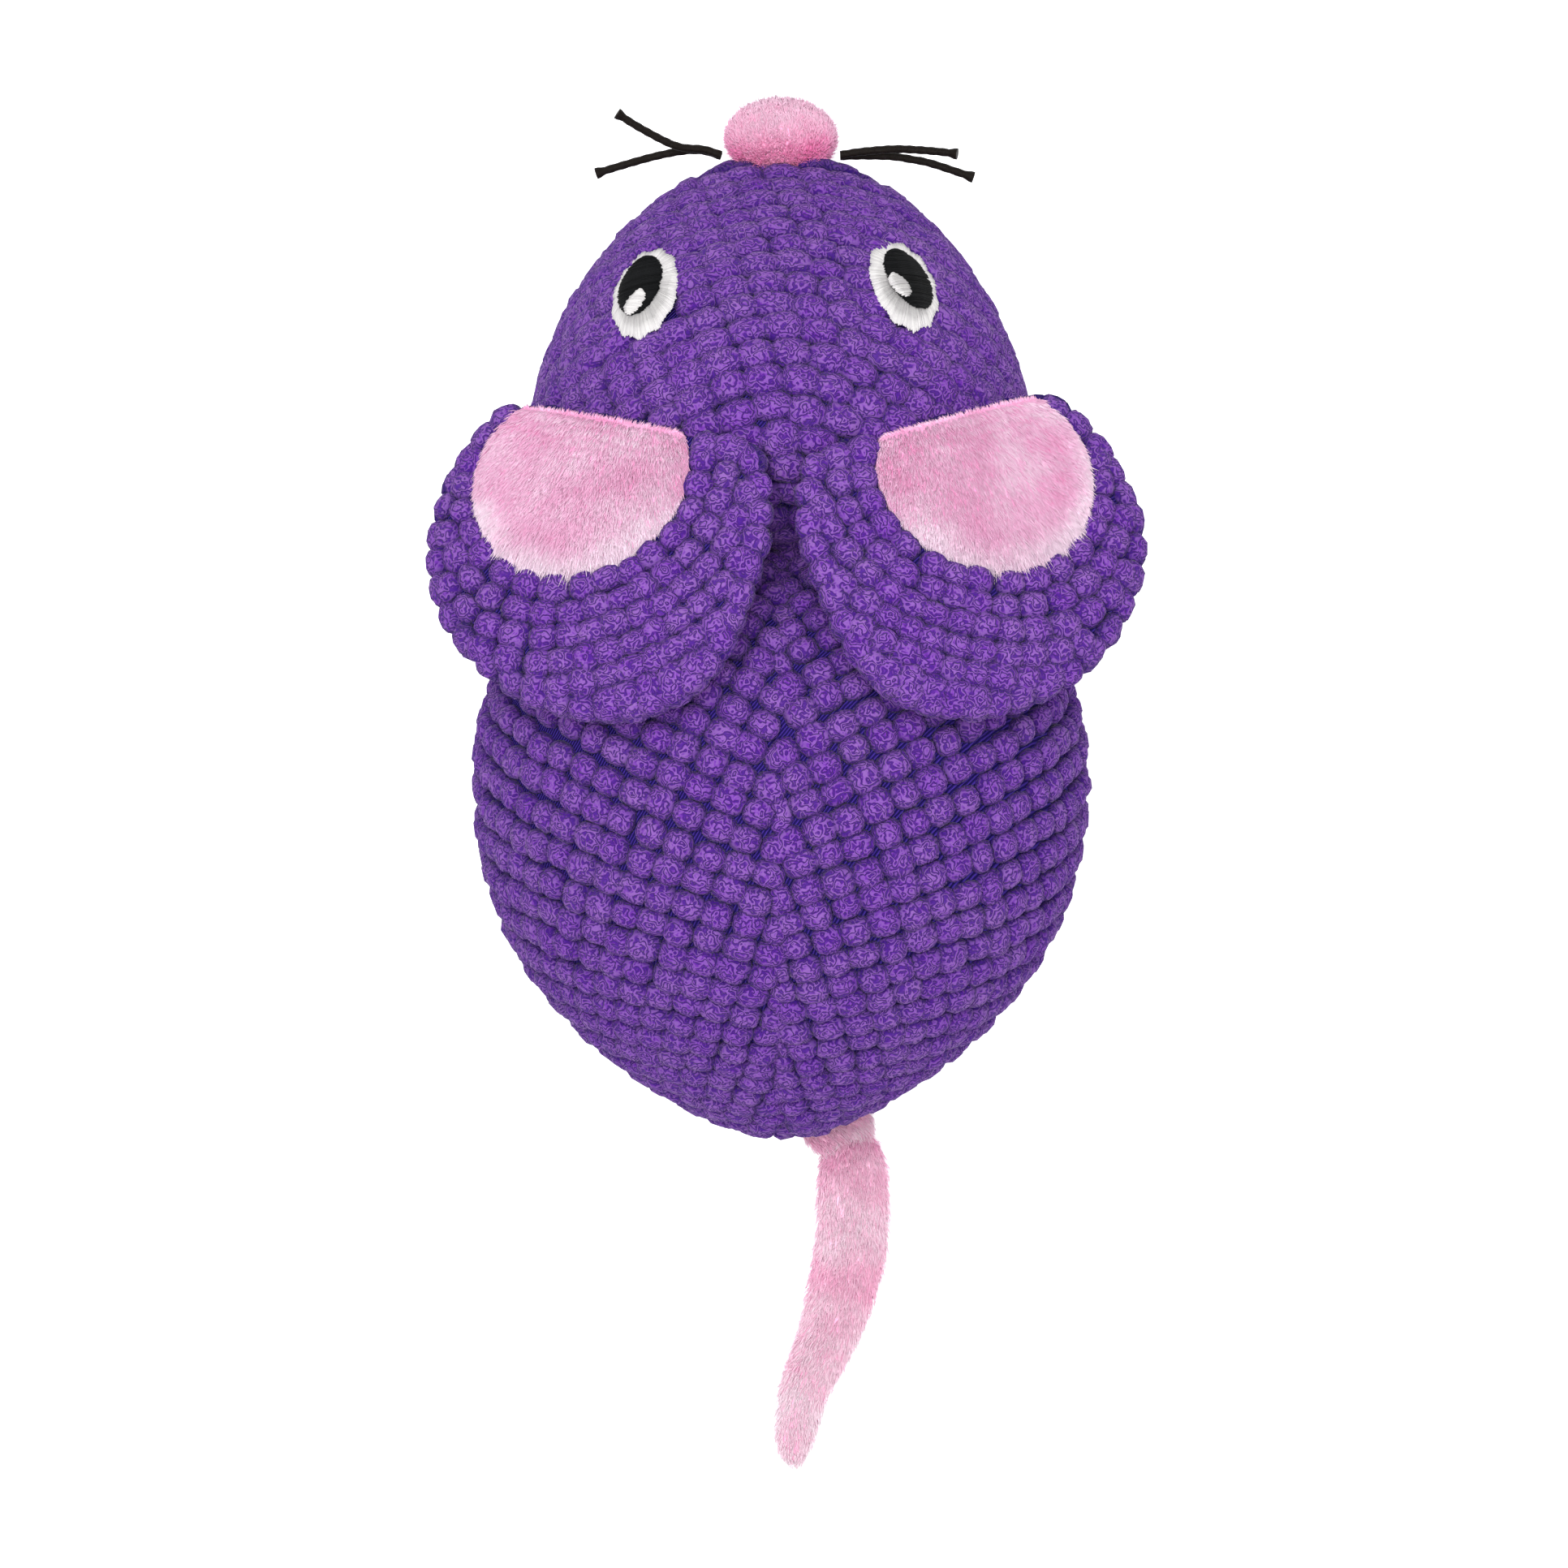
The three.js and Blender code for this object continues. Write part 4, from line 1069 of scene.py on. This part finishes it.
def ear_lining(name):
    """The pink lining of an ear."""
    side = EARS[name]["side"]

    def form(t, across, up):
        ring = np.sqrt(np.maximum(1 - t * t, 0))
        x = ring * across * LINING_SIZE[0] - side * LINING_SHIFT
        y = np.maximum(ring * up * LINING_SIZE[1] + LINING_FROM_ROOT, 0.3)
        padding = np.where(t > 0, 0.6 + 1.7 * np.sqrt(np.abs(t)), -0.4 + 0.4 * t)
        z = ear_height(x - side * ear_lean(y, CLOTH_INSET), y, CLOTH_INSET) + padding
        return np.stack([x, y, z], axis=1)

    points, groups = skin_of(form, 64, 28)
    rim = ((points[:, 0] + side * LINING_SHIFT) / LINING_SIZE[0]) ** 2
    rim += ((points[:, 1] - LINING_FROM_ROOT) / LINING_SIZE[1]) ** 2
    points = pressed_out(points, groups, (rim > 0.98) | (points[:, 1] < 0.31), 0.5)
    roots, normals = scattered(points, groups, 22.0)
    thinned = rng.uniform(0, 1, len(roots)) < 0.6 + smooth(roots[:, 1], 18.0, 26.0)
    edge_of_root = (roots[:, 1] < 0.8) & (normals[:, 1] < -0.3)
    upper = (normals[:, 2] > 0.3) & (roots[:, 1] > 0.8) & thinned | edge_of_root
    roots, normals, edge_of_root = roots[upper], normals[upper], edge_of_root[upper]
    x = (roots[:, 0] + side * LINING_SHIFT) / LINING_SIZE[0]
    y = (roots[:, 1] - LINING_FROM_ROOT) / LINING_SIZE[1]
    lay = np.stack([0.55 * x, np.ones(len(x)), np.zeros(len(x))], axis=1)
    lay[edge_of_root] = (0.0, 0.0, -1.0)
    lay = unit(along_skin(lay, normals))
    edge = smooth(np.hypot(x, np.maximum(y, 0)), 0.62, 1.0)
    streaks = np.sin(roots[:, 1] * 3.1 + 1.2 * np.sin(roots[:, 0] * 0.35))
    streaks *= np.exp(-(((roots[:, 1] - 4.0) / 4.0) ** 2)) * (1 - edge)
    tone = 0.5 + 0.5 * edge * smooth(y, -0.3, 0.8) - 0.16 * streaks
    length = rng.uniform(1.4, 2.1, len(x)) * (1 + 1.1 * smooth(y, 0.5, 0.95)) * np.where(edge_of_root, 0.5, 1)
    lift = np.clip(rng.normal(0.16, 0.05, len(x)), 0.06, 0.4)
    pile = pile_part(roots, normals, lay, length, lift, tone)
    ear_piece(name, "lining", [pile_base(points, groups, 0.3), pile], [EAR_PLUSH])


def wadding_form(side):
    """The form of an ear's wadding."""

    def form(t, across, up):
        y = np.maximum(EAR_CENTRE + (EAR_HALF_LENGTH - 5.0) * t, 3.0)
        x = ear_width(t, 5.0) * signed_power(across, 0.9) + side * ear_lean(y, 5.0)
        thick = 0.4 + 2.2 * smooth(t, -1, 0.2)
        return np.stack([x, y, thick * fullness(t, (6, 0.5)) * signed_power(up, 0.75)], axis=1)

    return form


for name in EARS:
    ear_face(name, "front", 1)
    ear_face(name, "back", -1)
    ear_lining(name)
    points, groups = skin_of(wadding_form(EARS[name]["side"]), 40, 20)
    ear_piece(name, "wadding", [(points, groups, 0, {})], [FIBREFILL])


# Tail: a flat tube of pink pile, with a short tab that is sewn in under the rump and folded over. The pile
# lies towards the tip.

TAIL_ROOT = np.array([0.0, -61.6])
TAIL_FOLD = np.array([13.0, -71.2])
TAIL_LENGTH = 61.4
TAIL_PLUSH = pile_finish("tail_pile", srgb(250, 176, 212), srgb(255, 216, 234), srgb(255, 236, 245))


def curve_through(stations, count):
    """Evenly spaced places along a smooth curve through stations, and its direction there."""
    stations = np.asarray(stations, float)
    padded = np.concatenate([[2 * stations[0] - stations[1]], stations, [2 * stations[-1] - stations[-2]]])
    s = np.linspace(0, 1, 24, endpoint=False)[:, None]
    places = []
    for a, b, c, d in zip(padded, padded[1:], padded[2:], padded[3:]):
        bend = (2 * a - 5 * b + 4 * c - d) * s**2 + (3 * b - a - 3 * c + d) * s**3
        places.append(0.5 * (2 * b + (c - a) * s + bend))
    places = np.concatenate([*places, stations[-1:]])
    length = run_along(places)
    even = np.linspace(0, length[-1], count)
    spaced = np.stack([np.interp(even, length, places[:, k]) for k in range(places.shape[1])], axis=1)
    return spaced, unit(np.gradient(spaced, axis=0))


def limb_form(spaced, ahead, half_width, half_thick):
    """The form of a flat limb that lies on the floor along a curve."""
    shares = np.linspace(0, 1, len(spaced))

    def form(t, across, up):
        s = (t + 1) / 2
        here = [np.interp(s, shares, spaced[:, k]) for k in (0, 1)]
        way = [np.interp(s, shares, ahead[:, k]) for k in (0, 1)]
        full = fullness(t, (8, 0.5))
        wide = half_width(s) * full * across
        z = 0.9 + half_thick(s) * full * signed_power(up, 0.8) + half_thick(1.0)
        return np.stack([here[0] + way[1] * wide, here[1] - way[0] * wide, z], axis=1)

    return form


def furred(node, stations, widths, thicks, rings, tones):
    """A limb with its pile, which lies along it."""
    spaced, ahead = curve_through(stations, 200)
    points, groups = skin_of(limb_form(spaced, ahead, widths, thicks), 28, rings)
    points = pressed_out(points, groups, np.abs(points[:, 2] - 0.9 - thicks(1.0)) < 0.01, 0.4)
    roots, normals = scattered(points, groups, 8.5)
    nearest = np.argmin(np.linalg.norm(roots[:, None, :2] - spaced[None], axis=2), axis=1)
    lay = np.concatenate([ahead[nearest], np.zeros((len(roots), 1))], axis=1)
    lay = unit(along_skin(lay, normals))
    length = rng.uniform(1.4, 2.4, len(roots))
    lift = np.clip(rng.normal(0.36, 0.08, len(roots)), 0.15, 0.6)
    pile = pile_part(roots, normals, lay, length, lift, tones(nearest / (len(spaced) - 1)))
    # Fibres underneath lie pressed on the floor
    pile[0][:, 2] = np.maximum(pile[0][:, 2], 0.0)
    made = mesh_of(f"{node}_strip", [pile_base(points, groups, 0.35), pile], [TAIL_PLUSH])
    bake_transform(made)
    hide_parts(node)


def tail_tones_and_tab_shadow(s):
    pale = 0.55 + 0.25 * smooth(s, 0.55, 0.9)
    # The top end is darkened as painted shadow, where the folded tab lies over the tail.
    return pale - 0.3 * np.exp(-(((s - 0.42) / 0.08) ** 2)) - 0.45 * np.exp(-((s / 0.14) ** 2))


tail_curve = [(0.2, 0.02), (0.6, -0.04), (0.7, -0.2), (0, -0.37)]
tail_curve += [(-3.4, -0.58), (-8.5, -0.78), (-10.4, -0.935), (-10.2, -1)]
stations = [TAIL_FOLD + np.array([x, y * TAIL_LENGTH]) for x, y in tail_curve]
furred(
    "tail",
    stations,
    lambda s: 6.5 - 2.8 * smooth(s, 0.3, 1),
    lambda s: 1.7,
    64,
    tail_tones_and_tab_shadow,
)
stations = [TAIL_ROOT + np.array(p) for p in [(-2, 1.6), (7.8, -4.8), (12.6, -8.8), (13.2, -10.4)]]
furred(
    "tail_tab",
    stations,
    lambda s: 2.6 + 3.4 * smooth(s, 0.1, 0.75),
    lambda s: 1.1 + 0.8 * smooth(s, 0.1, 0.75),
    24,
    lambda s: 0.15 + 0.7 * smooth(s, 0.8, 1.0),
)


# Whiskers: four lengths of black waxed cord, two a side, sewn in beside the nose. Each is flared at the end,
# where it was sealed by heat.

WHISKERS = {
    "left_front": [(3.3, 1, 0.2), (7.2, 1.3, 0.7), (10.4, 2.4, 1.3), (15.6, 5.1, 2.4), (19.3, 7.4, 3.2)],
    "left_rear": [(3.3, 1, -0.1), (7.1, 1, -0.3), (12.9, -0.1, -0.6), (20.5, -2.2, -1.2), (23.4, -3.1, -1.5)],
    "right_front": [(4.1, 0.6, 0.2), (9.8, 1, 0.8), (14.2, 0.8, 1.4), (18.3, 0.4, 2.1), (21.7, -0.1, 2.8)],
    "right_rear": [
        (4.1, 0.1, -0.1), (9.5, 0, -0.4), (13.1, -0.5, -0.7), (17.1, -1.3, -1), (24.9, -3.8, -1.7)
    ],
}
CORD_RADIUS = 0.75
CORD_STATIONS = 40
cord = Finish("waxed_cord", Roughness=0.6, Specular_IOR_Level=0.12)
CORD = cord.worked(cord.noise(1800.0, 3.0, 1.0), srgb(6, 4, 3), srgb(30, 23, 18), 0.00025, 0.8)

for name, route in WHISKERS.items():
    side = -1 if "left" in name else 1
    level = 0.5 if "front" in name else -0.5
    root = NOSE_CENTRE + np.array([side * 11.08, -3.24, level * 2.3])
    stations = [root + np.array(p) * np.array([side, 1, 1]) for p in [(0, 0, 0), *route]]
    spaced, _ = curve_through(stations, CORD_STATIONS)
    curve = bpy.data.curves.new(f"{name}_cord", "CURVE")
    curve.dimensions = "3D"
    curve.bevel_depth = CORD_RADIUS * MILLIMETRE
    curve.bevel_resolution = 4
    curve.use_fill_caps = True
    spline = curve.splines.new("POLY")
    spline.points.add(len(spaced) - 1)
    for i, (point, place) in enumerate(zip(spline.points, spaced)):
        point.co = (*(place * MILLIMETRE), 1.0)
        flare = float(smooth(i, CORD_STATIONS - 4, CORD_STATIONS - 1))
        point.radius = 1 + 0.45 * flare + 0.06 * math.sin(i * 1.7)
    curve.materials.append(CORD)
    whisker = placed(f"{name}_whisker_cord", curve)
    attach(whisker, f"{name}_whisker")
    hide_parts(f"{name}_whisker")


# Camera: straight above the toy and about 1.2 m away, with a long lens, so that the back is seen in plan
# with little perspective.

camera = placed("camera", bpy.data.cameras.new("camera"))
camera.location = (0.0006, -0.0039, 1.2)
camera.data.lens = 144.7
camera.data.sensor_width = 36.0
bpy.context.scene.camera = camera


# Studio: a sheet of pale paper for a floor, which looks white to the camera. A large key lamp, a weaker fill
# lamp and an even sky give soft light from all round.

floor_mesh = bmesh.new()
bmesh.ops.create_grid(floor_mesh, x_segments=1, y_segments=1, size=3.0)
floor_data = bpy.data.meshes.new("floor")
floor_mesh.to_mesh(floor_data)
floor_mesh.free()
floor = placed("floor", floor_data)
paper = Finish("paper", Roughness=1.0, Specular_IOR_Level=0.0, Emission_Strength=0.55)
paper.colour(paper.mix(paper.noise(40.0), srgb(250, 250, 250), srgb(254, 254, 254)))
seen = paper.node("ShaderNodeLightPath")
mirrored = paper.node("ShaderNodeLightPath", output="Is Glossy Ray")
through = paper.node("ShaderNodeLightPath", output="Is Transmission Ray")
seen = (seen + mirrored + through).clipped()
join(paper.tree, paper.mix(seen, srgb(0, 0, 0), srgb(255, 255, 255)), paper.shader.inputs["Emission Color"])
floor_data.materials.append(paper.material)

LAMPS = {"key": ((-0.14, 0.12, 1.35), 0.7, 17.8), "fill": ((0.45, -0.35, 1.35), 1.2, 5.0)}
for name, (place, size, power) in LAMPS.items():
    lamp = placed(name, bpy.data.lights.new(name, "AREA"))
    lamp.data.size = size
    lamp.data.energy = power
    lamp.location = place
    lamp.rotation_euler = (-Vector(place)).to_track_quat("-Z", "Y").to_euler()
world = bpy.data.worlds.new("studio")
world.use_nodes = True
sky = world.node_tree.nodes["Background"].inputs
sky["Color"].default_value = (1, 1, 1, 1)
sky["Strength"].default_value = 0.42
bpy.context.scene.world = world
bpy.context.scene.view_settings.view_transform = "Standard"
